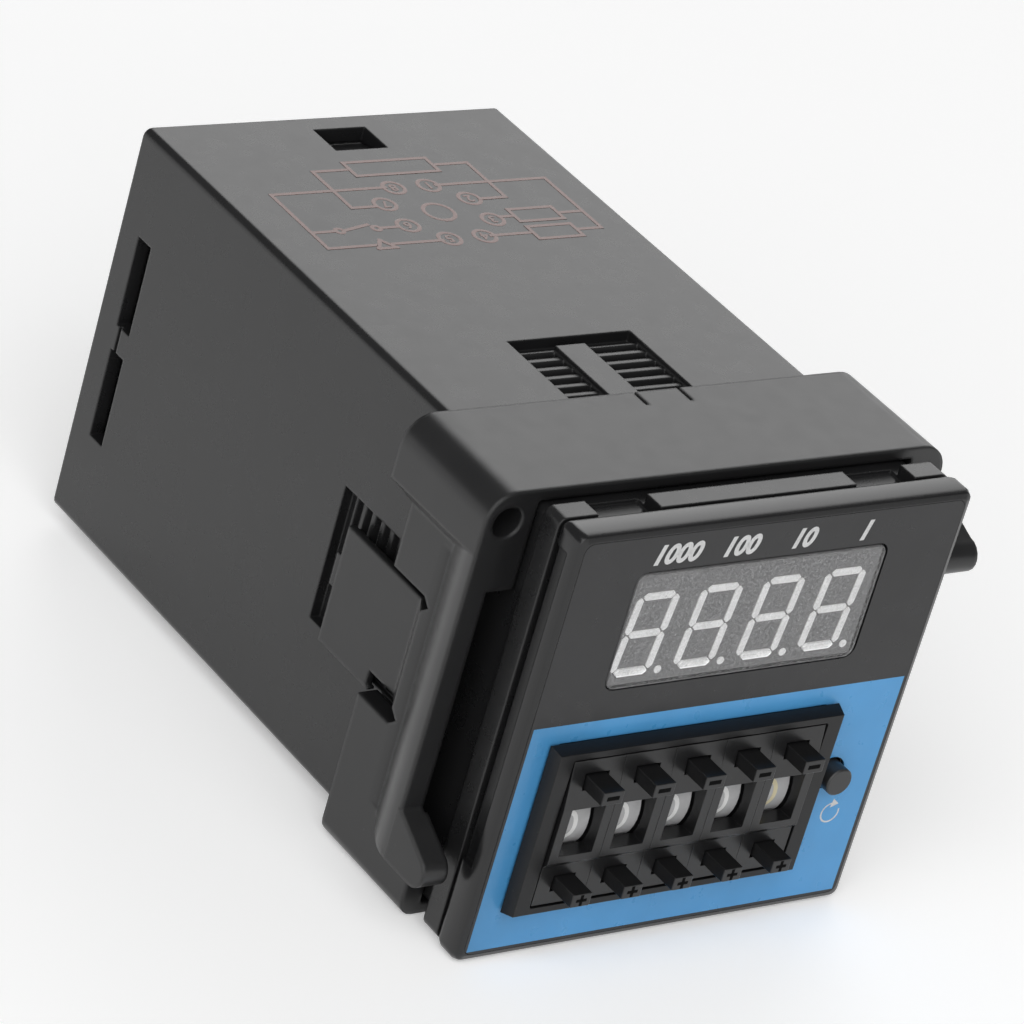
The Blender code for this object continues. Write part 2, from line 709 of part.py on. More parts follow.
def build_display(group):
    """Smoked window, the four digit display block behind it and their circuit board."""
    window_rear = BEZEL_FRONT + WINDOW_THICKNESS
    window = extruded("display_window", window_outline(0), "Y", BEZEL_FRONT, window_rear)
    place(window, "display_window", "smoke_window", group)
    front = window_rear + SEAT
    rear = front + MODULE_DEPTH
    half_width = WINDOW_WIDTH / 2
    half_height = WINDOW_HEIGHT / 2
    low = (WINDOW_X - half_width, front, WINDOW_Z - half_height)
    high = (WINDOW_X + half_width, rear, WINDOW_Z + half_height)
    place(box("display_module", low, high, SEAT, 1), "display_module", "grey_module", group)
    low = (-DISPLAY_BOARD_WIDTH / 2, rear + SEAT, WINDOW_Z - DISPLAY_BOARD_HEIGHT / 2)
    high = (DISPLAY_BOARD_WIDTH / 2, rear + SEAT + BOARD_THICKNESS, WINDOW_Z + DISPLAY_BOARD_HEIGHT / 2)
    place(box("display_board", low, high), "display_board", "board", group)


def build_reset(group):
    """Round reset button with its retaining collar behind the bezel."""
    front = BEZEL_FRONT - RESET_REACH
    rear = BEZEL_REAR + 2 * SEAT + COLLAR_LENGTH
    edge = SEAT / 2
    collar = RESET_RADIUS + RESET_COLLAR
    collar_front = BEZEL_REAR
    profile = [(0, -front), (RESET_RADIUS - edge, -front), (RESET_RADIUS, -front - edge)]
    profile += [(RESET_RADIUS, -collar_front), (collar, -collar_front), (collar, -rear), (0, -rear)]
    button = moved(turned("reset_button", profile, "Y", 24), (RESET_X, 0, RESET_Z))
    place(button, "reset_button", "black_gloss", group, (RESET_X, BEZEL_FRONT, RESET_Z))


def build_frame(group):
    """Raised frame round the switch bank: a drafted flange on the film and a skirt behind it."""
    front = BEZEL_FRONT - FRAME_RISE
    rear = BEZEL_FRONT - SEAT
    low = (BANK_X - FRAME_WIDTH / 2, front, BANK_Z - FRAME_HEIGHT / 2)
    high = (BANK_X + FRAME_WIDTH / 2, rear, BANK_Z + FRAME_HEIGHT / 2)
    frame = box("switch_frame", low, high)
    for corner in frame.data.vertices:
        if corner.co.y < 0:
            corner.co.x -= math.copysign(FRAME_DRAFT, corner.co.x)
            corner.co.z -= math.copysign(FRAME_DRAFT, corner.co.z)
    frame = fuse(frame, extruded("skirt", bank_outline(0), "Y", rear - SEAT, rear + FRAME_SKIRT_LENGTH))
    opening = bank_outline(-FRAME_SKIRT)
    frame = cut(frame, extruded("opening", opening, "Y", front - OVERRUN, rear + CELL_DEPTH))
    place(frame, "switch_frame", "black_gloss", group)


def cell_outline():
    """Returns the side outline of one switch cell as (y, z) pairs."""
    top = BANK_Z + CELL_HEIGHT / 2
    bottom = BANK_Z - CELL_HEIGHT / 2
    middle = BANK_Z + OPENING_RAISE
    hood_foot = middle + OPENING_HEIGHT / 2
    lip_foot = middle - OPENING_HEIGHT / 2 - LIP
    outline = [(CELL_REAR, top), (BEZEL_FRONT - HOOD_TOP_RISE, top), (CELL_FRONT, hood_foot)]
    outline += [(CELL_FRONT, lip_foot), (BEZEL_FRONT - LOWER_FACE_RISE, lip_foot - LIP_SLOPE)]
    outline += [(BEZEL_FRONT - LOWER_FACE_RISE, bottom), (CELL_REAR, bottom)]
    return outline


def button_box(name, side, width, slack, front, rear):
    """Returns a push button's shank, or its hole when slack is positive, about x = 0."""
    middle = BANK_Z + side * BUTTON_OFFSET
    half_width = width / 2 + slack
    half_height = BUTTON_HEIGHT / 2 + slack
    low = (-half_width, front, middle - half_height)
    high = (half_width, rear, middle + half_height)
    return box(name, low, high)


def build_cells(group):
    """Five switch cells: a stepped face, a window, two button holes, and an axle inside."""
    half = CELL_WIDTH / 2
    inner = half - CELL_WALL
    cell = extruded("cell", cell_outline(), "X", -half, half)
    low = (-inner, CAVITY_FRONT, BANK_Z - CELL_HEIGHT / 2 + CELL_WALL)
    high = (inner, CELL_REAR + OVERRUN, BANK_Z + CELL_HEIGHT / 2 - CELL_WALL)
    cell = cut(cell, box("cavity", low, high))
    well = disc("well", WHEEL_RADIUS + SEAT, "X", -inner, inner, 32)
    cell = cut(cell, moved(well, (0, WHEEL_Y, BANK_Z)))
    middle = BANK_Z + OPENING_RAISE
    low = (-OPENING_WIDTH / 2, CELL_FRONT - OVERRUN, middle - OPENING_HEIGHT / 2)
    high = (OPENING_WIDTH / 2, WHEEL_Y - WHEEL_RADIUS / 2, middle + OPENING_HEIGHT / 2)
    cell = cut(cell, box("opening", low, high))
    for side, width in ((1, MINUS_WIDTH), (-1, PLUS_WIDTH)):
        rear = CAVITY_FRONT + OVERRUN
        cell = cut(cell, button_box("hole", side, width, SEAT / 2, BUTTON_FRONT, rear))
    axle = disc("axle", AXLE_RADIUS, "X", -half + CELL_WALL / 2, inner - SEAT, 24)
    cell = fuse(cell, moved(axle, (0, WHEEL_Y, BANK_Z)))
    cell = place(moved(cell, (FIRST_CELL_X, 0, 0)), "switch_cell_1", "black_gloss", group)
    for index in range(1, CELL_COUNT):
        copied(cell, f"switch_cell_{index + 1}", group, (CELL_PITCH * index, 0, 0))


def star_outline():
    """Returns the outline of the ten notched detent star as (y, z) pairs."""
    tooth = ((0, STAR_RADIUS), (STAR_CREST_SHARE, STAR_RADIUS))
    tooth += ((STAR_NOTCH_SHARE, STAR_RADIUS - STAR_NOTCH),)
    outline = []
    for index in range(DIGIT_COUNT):
        for share, radius in tooth:
            angle = 2 * math.pi * (index + share) / DIGIT_COUNT
            outline.append((radius * math.cos(angle), radius * math.sin(angle)))
    return outline


def build_wheels(group):
    """Five number wheels: a rim that carries the digits, a web, a hub and a detent star."""
    half = WHEEL_WIDTH / 2
    bore = AXLE_RADIUS + RUNNING
    inner_rim = WHEEL_RADIUS - WHEEL_RIM
    web_low = -half + WHEEL_WEB
    profile = [(bore, half), (HUB_RADIUS, half), (HUB_RADIUS, web_low), (inner_rim, web_low)]
    profile += [(inner_rim, half), (WHEEL_RADIUS, half), (WHEEL_RADIUS, -half), (bore, -half)]
    wheel = turned("wheel", profile, "X", 40, closed=True)
    star = extruded("star", star_outline(), "X", web_low - WHEEL_WEB / 2, web_low + WHEEL_WEB)
    star = cut(star, disc("bore", HUB_RADIUS - SEAT, "X", -half, half, 24))
    wheel = fuse(wheel, star)
    centre = (FIRST_CELL_X, WHEEL_Y, BANK_Z)
    wheel = place(moved(wheel, centre), "number_wheel_1", "grey_wheel", group, centre)
    for index in range(1, CELL_COUNT):
        copied(wheel, f"number_wheel_{index + 1}", group, (CELL_PITCH * index, 0, 0))


def build_buttons(group):
    """Minus buttons above the windows and plus buttons below, each with a retaining collar."""
    for kind, side, width in (("minus", 1, MINUS_WIDTH), ("plus", -1, PLUS_WIDTH)):
        collar_front = CAVITY_FRONT + SEAT
        rear = collar_front + COLLAR_LENGTH + STEM_LENGTH
        button = button_box(kind, side, width, 0, BUTTON_FRONT, rear)
        middle = BANK_Z + side * BUTTON_OFFSET
        inner = middle - side * BUTTON_HEIGHT / 4
        outer = middle + side * (BUTTON_HEIGHT / 2 + BUTTON_COLLAR)
        low = (-width / 2 - BUTTON_COLLAR, collar_front, min(inner, outer))
        high = (width / 2 + BUTTON_COLLAR, collar_front + COLLAR_LENGTH, max(inner, outer))
        button = fuse(button, box("collar", low, high))
        spot = (FIRST_CELL_X, BUTTON_FRONT, middle)
        button = moved(button, (FIRST_CELL_X, 0, 0))
        button = place(button, f"{kind}_button_1", "black_gloss", group, spot)
        for index in range(1, CELL_COUNT):
            copied(button, f"{kind}_button_{index + 1}", group, (CELL_PITCH * index, 0, 0))


def corner_outline():
    """Returns the front outline of the adapter's screw corner, top left, as (x, z) pairs."""
    inside = -ADAPTER_BORE / 2
    outline = [(inside, CORNER_FOOT), (inside, ADAPTER_HALF_HEIGHT)]
    centre = (-CORNER_REACH + CORNER_RADIUS, ADAPTER_HALF_HEIGHT - CORNER_RADIUS)
    outline += arc(centre, CORNER_RADIUS, 90, 180, 8)
    outline += [(-CORNER_REACH, CORNER_LOW), (-ADAPTER_HALF_WIDTH, CORNER_FOOT)]
    return outline


def plain_corner_outline():
    """Returns the front outline of the adapter's plain corner, top right, as (x, z) pairs."""
    inside = ADAPTER_BORE / 2
    reach = ADAPTER_HALF_WIDTH + PLAIN_CORNER_FLARE
    centre = (reach - CORNER_RADIUS, ADAPTER_HALF_HEIGHT - CORNER_RADIUS)
    outline = [(inside, CORNER_FOOT), (ADAPTER_HALF_WIDTH, CORNER_FOOT), (reach, CORNER_LOW)]
    outline += arc(centre, CORNER_RADIUS, 0, 90, 8)
    outline.append((inside, ADAPTER_HALF_HEIGHT))
    return outline


def ramp_outline():
    """Returns the plan outline of the adapter's flared side wall as (x, y) pairs."""
    inside = -ADAPTER_BORE / 2
    bend = ADAPTER_FRONT + RAMP_LENGTH
    outline = [(inside, ADAPTER_FRONT), (inside, bend + OVERRUN), (-ADAPTER_HALF_WIDTH, bend + OVERRUN)]
    for step in range(RAMP_STEPS + 1):
        share = step / RAMP_STEPS
        flare = CORNER_FLARE * math.sin(share * math.pi / 2)
        outline.append((-ADAPTER_HALF_WIDTH - flare, bend - RAMP_LENGTH * share))
    return outline


def arm_outline(shift):
    """Returns the outline of the spring arm's forward end and shifted nose as (y, z) pairs."""
    tip = ADAPTER_FRONT - NOSE_REACH
    centre = (tip + NOSE_RADIUS, NOSE_CENTRE + shift)
    outline = [(ADAPTER_FRONT + ARM_ROOT, ARM_LOW)]
    outline += arc(centre, NOSE_RADIUS, 270, 130, 7)
    outline += [(ADAPTER_FRONT, ARM_BEND), (ADAPTER_FRONT + ARM_ROOT, ARM_BEND)]
    return outline


def recess_outline():
    """Returns the plan outline of the deep recess inside the flared wall as (x, y) pairs."""
    inner = -ADAPTER_BORE + OVERRUN
    outer = -CORNER_REACH + ARM_THICKNESS
    depth = ADAPTER_FRONT + RECESS_DEPTH
    narrow = -ADAPTER_BORE - RECESS_END_WIDTH
    front = ADAPTER_FRONT - ARM_ROOT
    return [(inner, front), (outer, front), (outer, ADAPTER_FRONT), (narrow, depth), (inner, depth)]


def adapter_side(nose_out, nose_shift):
    """Returns the solids of a side: the screw corner, the flared wall, the arm and the tongue."""
    corner = extruded("corner", corner_outline(), "Y", ADAPTER_FRONT, ADAPTER_REAR)
    ramp = extruded("ramp", ramp_outline(), "Z", ARM_LOW, CORNER_LOW)
    arm_inner = -CORNER_REACH + ARM_THICKNESS + NOSE_EXTRA
    arm = extruded("arm", arm_outline(nose_shift), "X", -CORNER_REACH - nose_out, arm_inner)
    end = ADAPTER_REAR + TONGUE_REACH
    face = -ADAPTER_BORE - TONGUE_THICKNESS
    low = (face, ADAPTER_FRONT + RAMP_LENGTH, TONGUE_LOW)
    tongue = box("tongue", low, (-ADAPTER_BORE / 2, end, TONGUE_HIGH))
    low = (face, ADAPTER_REAR + TONGUE_FOOT_SETBACK, TONGUE_LOW - TONGUE_FOOT)
    foot = box("foot", low, (-ADAPTER_BORE / 2, end, TONGUE_LOW + OVERRUN))
    return [corner, ramp, arm, tongue, foot]


def tongue_pawl():
    """Returns the tooth under the side tongue's end, which stands in the ratchet pocket."""
    end = ADAPTER_REAR + TONGUE_REACH - SEAT
    low = (-ADAPTER_BORE - TONGUE_THICKNESS / 2, end - PAWL_LENGTH, POCKET_BAR_HIGH + SEAT)
    high = (-CASE_SIZE / 2 + CREST_DEPTH - SEAT, end, TONGUE_HIGH - SEAT)
    return box("pawl", low, high)


def slit_outline(low, high, length, tip):
    """Returns a pointed slit's outline, from beyond the rear edge of the adapter to its tip."""
    rear = ADAPTER_REAR + OVERRUN
    end = ADAPTER_REAR - length
    return [(rear, low), (rear, high), (end, high), (end - tip, (low + high) / 2), (end, low)]


def tongue_slits():
    """Returns the cutters that free the side tongue: a slit above, one below, and its thinning."""
    outside = -ADAPTER_HALF_WIDTH - OVERRUN
    inside = -ADAPTER_BORE + SEAT
    upper = slit_outline(TONGUE_HIGH, TONGUE_HIGH + TONGUE_SLIT, TONGUE_SLIT_LENGTH, SLIT_TIP)
    lower = slit_outline(TONGUE_LOW - TONGUE_SLIT, TONGUE_LOW, TONGUE_SLIT_LENGTH, SLIT_TIP)
    cutters = [extruded("slit", outline, "X", outside, inside) for outline in (upper, lower)]
    start = ADAPTER_REAR - TONGUE_SLIT_LENGTH
    rear = ADAPTER_REAR + OVERRUN
    thin = -ADAPTER_BORE - TONGUE_THICKNESS
    relief = [(thin, rear), (outside, rear), (outside, start)]
    relief += [(-ADAPTER_HALF_WIDTH, start), (thin, start + RELIEF_RUN)]
    cutters.append(extruded("relief", relief, "Z", TONGUE_LOW - SEAT, TONGUE_HIGH + SEAT))
    return cutters


def tab_slits():
    """Returns the two slits that free the top tab."""
    spans = [(TAB_LOW - TAB_SLIT, TAB_LOW), (TAB_HIGH, TAB_HIGH + TAB_SLIT)]
    start = ADAPTER_REAR - TAB_SLIT_LENGTH
    cutters = []
    for low, high in spans:
        corner = (high, ADAPTER_REAR + OVERRUN, ADAPTER_HALF_HEIGHT + OVERRUN)
        cutters.append(box("slit", (low, start, ADAPTER_BORE - OVERRUN), corner))
    return cutters


def build_adapter(group):
    """One-piece mounting adapter; apart from one plain corner, its sides match by a half turn."""
    low = (-ADAPTER_HALF_WIDTH, -ADAPTER_HALF_HEIGHT)
    high = (ADAPTER_HALF_WIDTH, ADAPTER_HALF_HEIGHT)
    outline = rounded_rectangle(low, high, ADAPTER_EDGE)
    adapter = extruded("adapter", outline, "Y", ADAPTER_FRONT, ADAPTER_REAR)
    for turns, nose_out, nose_shift in ((0, 0, 0), (2, RIGHT_NOSE_OUT, RIGHT_NOSE_SHIFT)):
        side = adapter_side(nose_out, nose_shift)
        adapter = fuse(adapter, *[quarter_turns(piece, turns) for piece in side])
    plain_corner = extruded("corner", plain_corner_outline(), "Y", ADAPTER_FRONT, ADAPTER_REAR)
    adapter = fuse(adapter, plain_corner)
    bore_end = ADAPTER_REAR + TONGUE_REACH + OVERRUN
    bore = extruded("bore", square(2 * ADAPTER_BORE, SEAT, 2), "Y", ADAPTER_FRONT - OVERRUN, bore_end)
    adapter = cut(adapter, bore)
    for turns in (0, 2):
        recess = extruded("recess", recess_outline(), "Z", RECESS_LOW, RECESS_TOP)
        front = ADAPTER_FRONT - OVERRUN
        hole = disc("hole", CORNER_HOLE_RADIUS, "Y", front, ADAPTER_REAR + OVERRUN, 24)
        hole = moved(hole, (-CORNER_HOLE_X, 0, CORNER_HOLE_Z))
        cutters = [recess, hole] + tongue_slits() + tab_slits()
        adapter = cut(adapter, *[quarter_turns(cutter, turns) for cutter in cutters])
        adapter = fuse(adapter, quarter_turns(tongue_pawl(), turns))
    place(adapter, "adapter", "black_adapter", group, (0, ADAPTER_FRONT, 0))


def build_boards(group):
    """Circuit boards inside the case: one behind the switch cells and one along each side."""
    rear = CELL_REAR + SEAT
    half = CELL_COUNT * CELL_PITCH / 2 + SWITCH_BOARD_MARGIN
    low = (BANK_X - half, rear, BANK_Z - CELL_HEIGHT / 2 - SWITCH_BOARD_MARGIN)
    high = (BANK_X + half, rear + BOARD_THICKNESS, BANK_Z + CELL_HEIGHT / 2)
    place(box("switch_board", low, high), "switch_board", "board", group)
    board_end = CASE_LENGTH - BASE_SKIRT_LENGTH - SEAT
    half_height = MAIN_BOARD_HEIGHT / 2
    for name, side in (("main_board_left", -1), ("main_board_right", 1)):
        faces = sorted((side * MAIN_BOARD_X, side * (MAIN_BOARD_X + BOARD_THICKNESS)))
        low = (faces[0], MAIN_BOARD_START, -half_height)
        high = (faces[1], board_end, half_height)
        place(box(name, low, high), name, "board", group)


def build_components(group):
    """Transformer and capacitor on the left main board, and the output relay on the right one."""
    face = MAIN_BOARD_X - SEAT
    core_end = CORE_START + CORE_LENGTH
    low = (-face, CORE_START, CORE_Z - CORE_HEIGHT / 2)
    high = (-face + CORE_DEPTH, core_end, CORE_Z + CORE_HEIGHT / 2)
    core = box("transformer", low, high)
    beyond = (COIL_LENGTH - CORE_LENGTH) / 2
    low = (-face + COIL_SEAT, CORE_START - beyond, CORE_Z - COIL_HEIGHT / 2)
    high = (-face + CORE_DEPTH + COIL_RISE, core_end + beyond, CORE_Z + COIL_HEIGHT / 2)
    coil = box("coil", low, high, COIL_EDGE)
    place(fuse(core, coil), "transformer", "steel_core", group)
    low = (face - RELAY_DEPTH, RELAY_START, RELAY_Z - RELAY_HEIGHT / 2)
    high = (face, RELAY_START + RELAY_LENGTH, RELAY_Z + RELAY_HEIGHT / 2)
    place(box("output_relay", low, high, RELAY_EDGE, 2), "output_relay", "relay_cover", group)
    capacitor = disc("capacitor", CAPACITOR_RADIUS, "X", -face, -face + CAPACITOR_LENGTH, 24)
    capacitor = moved(capacitor, (0, CAPACITOR_Y, CAPACITOR_Z))
    place(capacitor, "capacitor", "sleeve", group)


def main():
    """Builds the whole relay in a collection of its own."""
    clear_scene()
    group = bpy.data.collections.new("counter_relay")
    bpy.context.scene.collection.children.link(group)
    build_case(group)
    build_rear_base(group)
    build_pins(group)
    build_bezel(group)
    build_film(group)
    build_display(group)
    build_reset(group)
    build_frame(group)
    build_cells(group)
    build_wheels(group)
    build_buttons(group)
    build_adapter(group)
    build_boards(group)
    build_components(group)


main()
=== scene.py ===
"""Looks of a digital counter relay with pushwheel switches, in its panel mounting adapter.

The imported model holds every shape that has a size. This file dresses it: it adds the printed
marks, the display bars, the numerals on the wheels and the signs on the buttons, gives each
piece its finish, and sets a pale floor, soft lamps and a camera round it.
"""

import logging
import math
from dataclasses import dataclass, field
from enum import Enum
from typing import Iterable, Sequence

import bpy
from mathutils import Matrix, Vector


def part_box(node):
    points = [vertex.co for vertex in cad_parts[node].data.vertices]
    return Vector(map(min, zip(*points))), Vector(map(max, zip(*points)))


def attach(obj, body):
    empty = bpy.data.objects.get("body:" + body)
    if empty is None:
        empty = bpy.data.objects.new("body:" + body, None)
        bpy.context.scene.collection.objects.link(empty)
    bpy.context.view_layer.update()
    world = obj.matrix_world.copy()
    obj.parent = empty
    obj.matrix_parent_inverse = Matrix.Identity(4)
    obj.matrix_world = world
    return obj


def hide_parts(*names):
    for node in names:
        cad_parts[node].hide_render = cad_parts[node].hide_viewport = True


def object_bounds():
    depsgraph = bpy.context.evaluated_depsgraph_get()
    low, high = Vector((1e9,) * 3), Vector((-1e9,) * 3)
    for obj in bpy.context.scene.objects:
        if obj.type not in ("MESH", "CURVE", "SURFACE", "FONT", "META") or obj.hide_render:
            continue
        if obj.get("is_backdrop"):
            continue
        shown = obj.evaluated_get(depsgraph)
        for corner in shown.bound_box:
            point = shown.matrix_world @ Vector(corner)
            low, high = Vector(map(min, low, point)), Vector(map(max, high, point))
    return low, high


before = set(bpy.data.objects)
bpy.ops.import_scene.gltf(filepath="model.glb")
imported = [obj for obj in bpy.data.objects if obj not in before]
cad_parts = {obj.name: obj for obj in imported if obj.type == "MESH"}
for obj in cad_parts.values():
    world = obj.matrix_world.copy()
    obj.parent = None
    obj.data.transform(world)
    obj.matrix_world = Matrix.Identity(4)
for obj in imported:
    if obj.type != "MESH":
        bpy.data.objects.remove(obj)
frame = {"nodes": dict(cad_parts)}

LOG = logging.getLogger("counter_relay")
MM = 0.001
MAIN_BODY = "relay"
CELLS = 5
PINS = 8
PLACE_VALUES = ("1000", "100", "10", "1")
WHITE = (1.0, 1.0, 1.0)

# Welding and shading of the pieces' copies
WELD = 0.001 * MM
LETTER_WELD = 0.0005 * MM
FLAT_ANGLE = math.radians(0.5)
SMOOTH_ANGLE = math.radians(31)
SHARP_ANGLE = math.radians(40)
FACE_WEIGHT = 50

# A font's size for a numeral of height 1, before it is scaled to its exact height
FONT_SIZE = 1.4

# Printed lines of the wiring diagram: places on the top face in millimetres
WIRING_ROUTES = (
    ((-4.1, 65.7), (6.3, 65.7), (6.3, 62.9), (-4.1, 62.9), (-4.1, 65.7)),
    ((-4.1, 64.3), (-8.7, 64.3), (-8.7, 56.7), (-5.7, 56.7)),
    ((-2.3, 60.3), (-16.3, 60.3), (-16.3, 49.3), (-10.6, 49.3)),
    ((-2.3, 49.3), (-8.4, 49.3)),
    ((-10.6, 48.6), (-8.4, 48.6), (-9.5, 50.2), (-10.6, 48.6)),
    ((-12.3, 52.5), (-9.0, 53.3)),
    ((-7.9, 52.5), (-5.6, 52.5)),
    ((-16.3, 52.5), (-13.3, 52.5)),
    ((4.0, 60.1), (18.0, 60.1), (18.0, 49.5)),
    ((7.3, 53.0), (9.2, 53.0)),
    ((9.2, 54.3), (14.8, 54.3), (14.8, 51.8), (9.2, 51.8), (9.2, 54.3)),
    ((9.2, 50.7), (14.8, 50.7), (14.8, 48.2), (9.2, 48.2), (9.2, 50.7)),
    ((3.9, 49.5), (9.2, 49.5)),
    ((6.3, 64.2), (10.7, 64.2), (10.7, 56.8), (7.4, 56.8)),
    ((14.8, 53.0), (18.0, 53.0)),
    ((14.8, 49.5), (18.0, 49.5)),
)
WIRING_CONTACTS = ((-12.9, 52.5), (-8.4, 52.5))

Colour = tuple[float, float, float]
Point = tuple[float, float]
Socket = bpy.types.NodeSocket


class Facing(Enum):
    """Which way a flat mark looks, and how its right and up directions lie."""

    FRONT = "front"
    REAR = "rear"
    TOP_FROM_REAR = "top, read from the rear"

    def turn(self) -> Matrix:
        """Gives the turn of a mark that is drawn in X and Y.

        Returns:
            The rotation that takes it to its own face.
        """
        upright = Matrix.Rotation(math.pi / 2, 4, "X")
        half_turn = Matrix.Rotation(math.pi, 4, "Z")
        if self is Facing.FRONT:
            return upright
        if self is Facing.REAR:
            return half_turn @ upright
        return half_turn


# Material graphs


def tinted(colour: Colour, share: float, lift: float = 0.0) -> Colour:
    """Returns a colour whose parts are multiplied by share and raised by lift."""
    return tuple(value * share + lift for value in colour)


class Graph:
    """One node material, with short calls for the nodes that the finishes share."""

    def __init__(self, name: str) -> None:
        """Starts a material of the given name with its Principled shader.

        Args:
            name: the material's name.
        """
        self.material = bpy.data.materials.new(name)
        self.material.use_nodes = True
        self.tree = self.material.node_tree
        self.shader = self.tree.nodes["Principled BSDF"]
        self.place = self.node("ShaderNodeTexCoord").outputs["Object"]

    def node(self, kind: str, **settings: object) -> bpy.types.Node:
        """Adds a node and sets its properties.

        Args:
            kind: the node's type name.
            settings: properties of the node by name.

        Returns:
            The new node.
        """
        made = self.tree.nodes.new(kind)
        for key, value in settings.items():
            setattr(made, key, value)
        return made

    def wire(self, source: Socket, target: Socket) -> None:
        """Links one socket to another."""
        self.tree.links.new(source, target)

    def texture(self, kind: str, place: Socket | None = None, **inputs: float) -> Socket:
        """Adds a texture over the piece.

        Args:
            kind: the node's type name.
            place: what the texture reads, or nothing for the place on the piece.
            inputs: its inputs by name; a name's underscores stand for spaces.

        Returns:
            The texture's value.
        """
        made = self.node(kind)
        for key, value in inputs.items():
            made.inputs[key.replace("_", " ")].default_value = value
        self.wire(self.place if place is None else place, made.inputs["Vector"])
        return made.outputs["Fac"]

    def noise(self, scale: float, detail: float = 2.0) -> Socket:
        """Returns a noise of so many waves in a metre and so many finer layers."""
        return self.texture("ShaderNodeTexNoise", Scale=scale, Detail=detail)

    def cloud(self, scale: float, detail: float = 3.0) -> Socket:
        """Returns a noise whose middle range is stretched to run from 0 to 1."""
        return self.spread(self.noise(scale, detail), 0.0, 1.0)

    def mapped(self, setting: str, value: Sequence[float]) -> Socket:
        """Turns or stretches the place on the piece.

        Args:
            setting: the Mapping node's input, such as Scale.
            value: that input's three numbers.

        Returns:
            The changed place.
        """
        made = self.node("ShaderNodeMapping")
        made.inputs[setting].default_value = value
        self.wire(self.place, made.inputs["Vector"])
        return made.outputs["Vector"]

    def spread(self, value: Socket, low: float, high: float,
               start: float = 0.3, end: float = 0.7) -> Socket:
        """Stretches a value from one range to another.

        Args:
            value: the socket to stretch.
            low: the result at start.
            high: the result at end.
            start: where the source range begins.
            end: where the source range ends.

        Returns:
            The stretched value.
        """
        made = self.node("ShaderNodeMapRange")
        made.inputs["From Min"].default_value = start
        made.inputs["From Max"].default_value = end
        made.inputs["To Min"].default_value = low
        made.inputs["To Max"].default_value = high
        self.wire(value, made.inputs["Value"])
        return made.outputs["Result"]

    def axis(self, name: str) -> Socket:
        """Splits the place on the piece.

        Args:
            name: X, Y or Z.

        Returns:
            That coordinate in metres.
        """
        made = self.node("ShaderNodeSeparateXYZ")
        self.wire(self.place, made.inputs["Vector"])
        return made.outputs[name]

    def maths(self, operation: str, first: Socket | float, second: Socket | float) -> Socket:
        """Reckons with two sockets or numbers.

        Args:
            operation: the Math node's operation.
            first: a socket or a number.
            second: a socket or a number.

        Returns:
            The result.
        """
        made = self.node("ShaderNodeMath", operation=operation)
        for index, value in enumerate((first, second)):
            if isinstance(value, (int, float)):
                made.inputs[index].default_value = value
            else:
                self.wire(value, made.inputs[index])
        return made.outputs["Value"]

    def mix(self, share: Socket, first: Socket | Colour, second: Socket | Colour) -> Socket:
        """Mixes two colours.

        Args:
            share: how much of the second colour shows.
            first: a colour or a socket.
            second: a colour or a socket.

        Returns:
            The mixed colour.
        """
        made = self.node("ShaderNodeMix", data_type="RGBA")
        self.wire(share, made.inputs[0])
        for index, value in ((6, first), (7, second)):
            if isinstance(value, tuple):
                made.inputs[index].default_value = (*value, 1.0)
            else:
                self.wire(value, made.inputs[index])
        return made.outputs[2]

    def dusted(self, colour: Socket, scale: float, share: float, dust: Colour) -> Socket:
        """Returns a colour with specks of dust, which a noise of the given scale scatters."""
        speck = self.spread(self.noise(scale, 1.0), 0.0, share, 0.76, 0.82)
        return self.mix(speck, colour, dust)

    def rounded(self, radius: float) -> tuple[Socket, Socket]:
        """Softens the edges of a piece in its shading.

        Args:
            radius: the radius of the softened edge in metres.

        Returns:
            The softened normal, and a value that rises along the edges.
        """
        bevel = self.node("ShaderNodeBevel", samples=6)
        bevel.inputs["Radius"].default_value = radius
        plain = self.node("ShaderNodeNewGeometry")
        match = self.node("ShaderNodeVectorMath", operation="DOT_PRODUCT")
        self.wire(bevel.outputs["Normal"], match.inputs[0])
        self.wire(plain.outputs["Normal"], match.inputs[1])
        edge = self.spread(match.outputs["Value"], 1.0, 0.0, 0.75, 0.99)
        return bevel.outputs["Normal"], edge

    def bump(self, height: Socket, strength: float, depth: float,
             normal: Socket | None = None) -> Socket:
        """Raises a pattern on the surface.

        Args:
            height: the pattern.
            strength: how much of the pattern shows.
            depth: the height of the pattern in metres.
            normal: the normal that it is raised on, or nothing for the mesh's own.

        Returns:
            The normal with the pattern on it.
        """
        made = self.node("ShaderNodeBump")
        made.inputs["Strength"].default_value = strength
        made.inputs["Distance"].default_value = depth
        self.wire(height, made.inputs["Height"])
        if normal is not None:
            self.wire(normal, made.inputs["Normal"])
        return made.outputs["Normal"]

    def grain(self, scale: float, strength: float, depth: float = 0.01 * MM,
              normal: Socket | None = None) -> Socket:
        """Returns a normal with an even grain, whose numbers are those of noise and bump."""
        return self.bump(self.noise(scale), strength, depth, normal)

    def set(self, **values: Socket | Colour | float) -> None:
        """Sets inputs of the shader.

        Args:
            values: sockets, colours or numbers; a name's underscores stand for spaces.
        """
        for key, value in values.items():
            socket = self.shader.inputs[key.replace("_", " ")]
            if isinstance(value, Socket):
                self.wire(value, socket)
            elif isinstance(value, tuple):
                socket.default_value = (*value, 1.0)
            else:
                socket.default_value = value


# Finishes


@dataclass(frozen=True)
class Finish:
    """A finish, whose material has its name and the look that its paint method gives."""

    name: str

    def make(self) -> bpy.types.Material:
        """Makes the finish.

        Returns:
            The material.
        """
        graph = Graph(self.name)
        self.paint(graph)
        return graph.material

    def paint(self, graph: Graph) -> None:
        """Gives the material its look; each kind of finish has its own."""
        raise NotImplementedError(self.name)


